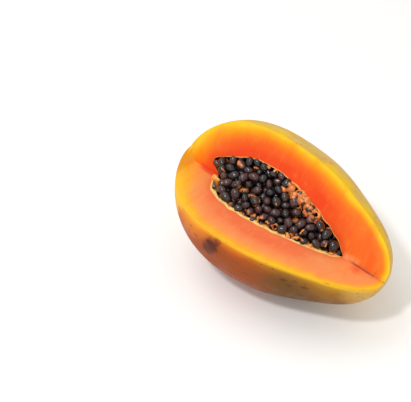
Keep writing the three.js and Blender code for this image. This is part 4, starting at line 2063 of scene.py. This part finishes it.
    def scraps(self, top: Callable[[np.ndarray, np.ndarray], np.ndarray]) -> bpy.types.Object:
        """Build the orange lumps and curls that cling along the cavity's edges.

        Args:
            top: Gives the height of the seeds' middles by X and Y.

        Returns:
            The piece.
        """
        random = np.random.default_rng(self.seed + 1)
        parts = PulpParts(self.form)
        for cluster in self.clusters:
            for _ in range(cluster.count):
                place = random.normal(cluster.middle * MM, cluster.spread * MM)
                x = float(np.clip(place, *self.scrap_range))
                inward = random.uniform(0.2, 1.0) * cluster.depth * MM
                edge = self.edge_point(np.array([x]), cluster.side, np.array([0.0]))[0]
                y = edge[1] - cluster.side.value * inward
                seeds = float(top(np.array([x]), np.array([y]))[0]) + random.uniform(*self.scrap_rise)
                highest = edge[2] - self.scrap_drop - self.scrap_slope * inward
                centre = np.array([edge[0], y, min(seeds, highest)])
                if cluster.kind is Scrap.LUMP:
                    grid = self.lump(centre, cluster.scale * random.uniform(1.7, 3.2, 3) * MM, random)
                else:
                    grid = self.curl(centre, cluster.scale * random.uniform(1.9, 3.2) * MM, random)
                parts.add_scrap(grid, random.uniform(0, 0.7) + cluster.kind.value)
        finish = PulpFinish("pulp_scraps", light=linear(252, 164, 86), dark=linear(170, 66, 22))
        return parts.finished("pulp_scraps", finish)

    def rags(self, seeds: np.ndarray) -> bpy.types.Object:
        """Build the thin rags and strands that lie over a few seeds.

        Args:
            seeds: The seeds' centres, in the fruit's own frame.

        Returns:
            The piece.
        """
        random = np.random.default_rng(self.seed + 2)
        parts = PulpParts(self.form)
        height = seeds[:, 2] - self.form.heap_top(seeds[:, 0], seeds[:, 1])
        top = seeds[height > -self.rag_depth]
        for seed in top[random.permutation(len(top))[: self.rag_count]]:
            way = np.array([random.normal(0, 0.5), random.normal(-0.3, 0.5), 1.0])
            way /= np.linalg.norm(way)
            side = np.cross(way, random.normal(0, 1, 3))
            side /= np.linalg.norm(side)
            half = random.uniform(1.2, 3.0)
            angle = np.linspace(-half / 3.3, half / 3.3, 12)
            swell = self.rag_radius + self.rag_wave * np.sin(angle * 5 + random.uniform(0, 6))
            path = seed + (np.cos(angle) * swell)[:, None] * way + (np.sin(angle) * swell)[:, None] * side
            share = np.linspace(-1, 1, len(angle))
            plump = np.sqrt(np.maximum(1 - share**4, 0)) + 0.03
            width = random.uniform(0.6, 1.6) * MM * plump * (1 + 0.3 * np.sin(share * 6))
            grid = self.strip(path, width, self.rag_thickness * plump, path - seed)
            parts.add_scrap(grid, random.uniform(0, 1))
        finish = PulpFinish("pulp_rags", light=linear(232, 150, 70), dark=linear(140, 70, 34))
        return parts.finished("pulp_rags", finish)


def link_object(name: str, data: bpy.types.ID) -> bpy.types.Object:
    """Make an object of a mesh, light or camera, and put it in the scene.

    Args:
        name: The object's name.
        data: What it shows.

    Returns:
        The object.
    """
    made = bpy.data.objects.new(name, data)
    bpy.context.scene.collection.objects.link(made)
    return made


@dataclass(frozen=True)
class SoftLight:
    """One square soft light."""

    name: str
    place: Point
    size: float
    power: float

    def build(self, target: Point) -> None:
        """Set the light, aimed at a point.

        Args:
            target: The point that it shines on.
        """
        data = bpy.data.lights.new(self.name, "AREA")
        data.size = self.size
        data.energy = self.power
        light = link_object(self.name, data)
        light.location = self.place
        aim = Vector(target) - Vector(self.place)
        light.rotation_euler = aim.to_track_quat("-Z", "Y").to_euler()


@dataclass
class Studio:
    """The floor, the lights and the camera at the photograph's viewing angle."""

    form: FruitForm
    image_width: int = 411
    focal_pixels: float = 1100.0
    millimetres_per_pixel: float = 0.6875
    azimuth: float = math.radians(38.95)
    elevation: float = math.radians(45)
    fruit_right: float = 77.9
    fruit_down: float = 13.9
    sensor: float = 36.0
    floor_size: float = 6.0
    floor_tone: float = 0.97
    sky: Colour = (1.0, 0.985, 0.96, 1)
    sky_strength: float = 0.75
    lamps: tuple[SoftLight, ...] = (
        SoftLight("key", (-0.45, -0.07, 1.0), 0.6, 2.0),
        SoftLight("fill", (0.5, -0.8, 0.45), 0.8, 0.6),
        SoftLight("spark", (-0.04, -0.5, 0.9), 0.09, 3.2),
    )

    def build(self) -> None:
        """Build the studio."""
        self.camera()
        self.floor()
        self.lights()
        bpy.context.scene.view_settings.view_transform = "Standard"

    def camera(self) -> None:
        """Set the camera where the photograph was taken from, aimed at the picture's middle."""
        turn, lift = self.azimuth, self.elevation
        back = Vector((math.sin(turn) * math.cos(lift), -math.cos(turn) * math.cos(lift), math.sin(lift)))
        right = Vector((math.cos(turn), math.sin(turn), 0))
        up = back.cross(right)
        pixel = self.millimetres_per_pixel * MM
        place = Vector(self.form.axis_middle) + pixel * (
            back * self.focal_pixels - right * self.fruit_right + up * self.fruit_down
        )
        data = bpy.data.cameras.new("camera")
        data.sensor_width = self.sensor
        data.lens = self.sensor * self.focal_pixels / self.image_width
        camera = link_object("camera", data)
        camera.matrix_world = Matrix.Translation(place) @ Matrix((right, up, back)).transposed().to_4x4()
        bpy.context.scene.camera = camera

    def floor(self) -> None:
        """Lay a plain pale floor."""
        half = self.floor_size / 2
        mesh = bpy.data.meshes.new("floor")
        corners = [(-half, -half, 0), (half, -half, 0), (half, half, 0), (-half, half, 0)]
        mesh.from_pydata(corners, [], [(0, 1, 2, 3)])
        floor = link_object("floor", mesh)
        shader, principled, material = new_material("floor_paper")
        shader.feed(principled, Base_Color=(*[self.floor_tone] * 3, 1), Roughness=0.9)
        mesh.materials.append(material)

    def lights(self) -> None:
        """Light the fruit softly from above and behind, with a fill from the front."""
        world = bpy.data.worlds.new("studio")
        bpy.context.scene.world = world
        world.use_nodes = True
        background = world.node_tree.nodes["Background"]
        background.inputs[0].default_value = self.sky
        background.inputs[1].default_value = self.sky_strength
        for lamp in self.lamps:
            lamp.build(self.form.axis_middle)


def main() -> None:
    logging.basicConfig(level=logging.INFO, format="%(name)s: %(message)s")
    form = FruitForm()
    Studio(form).build()
    Effects().build()
    fruit = Fruit(form).build()
    heap = SeedHeap(form, Walls(form, fruit))
    _, seeds = heap.build()
    pulp = Pulp(form)
    pulp.edges()
    pulp.scraps(heap.top)
    pulp.rags(seeds)


if __name__ == "__main__":
    main()
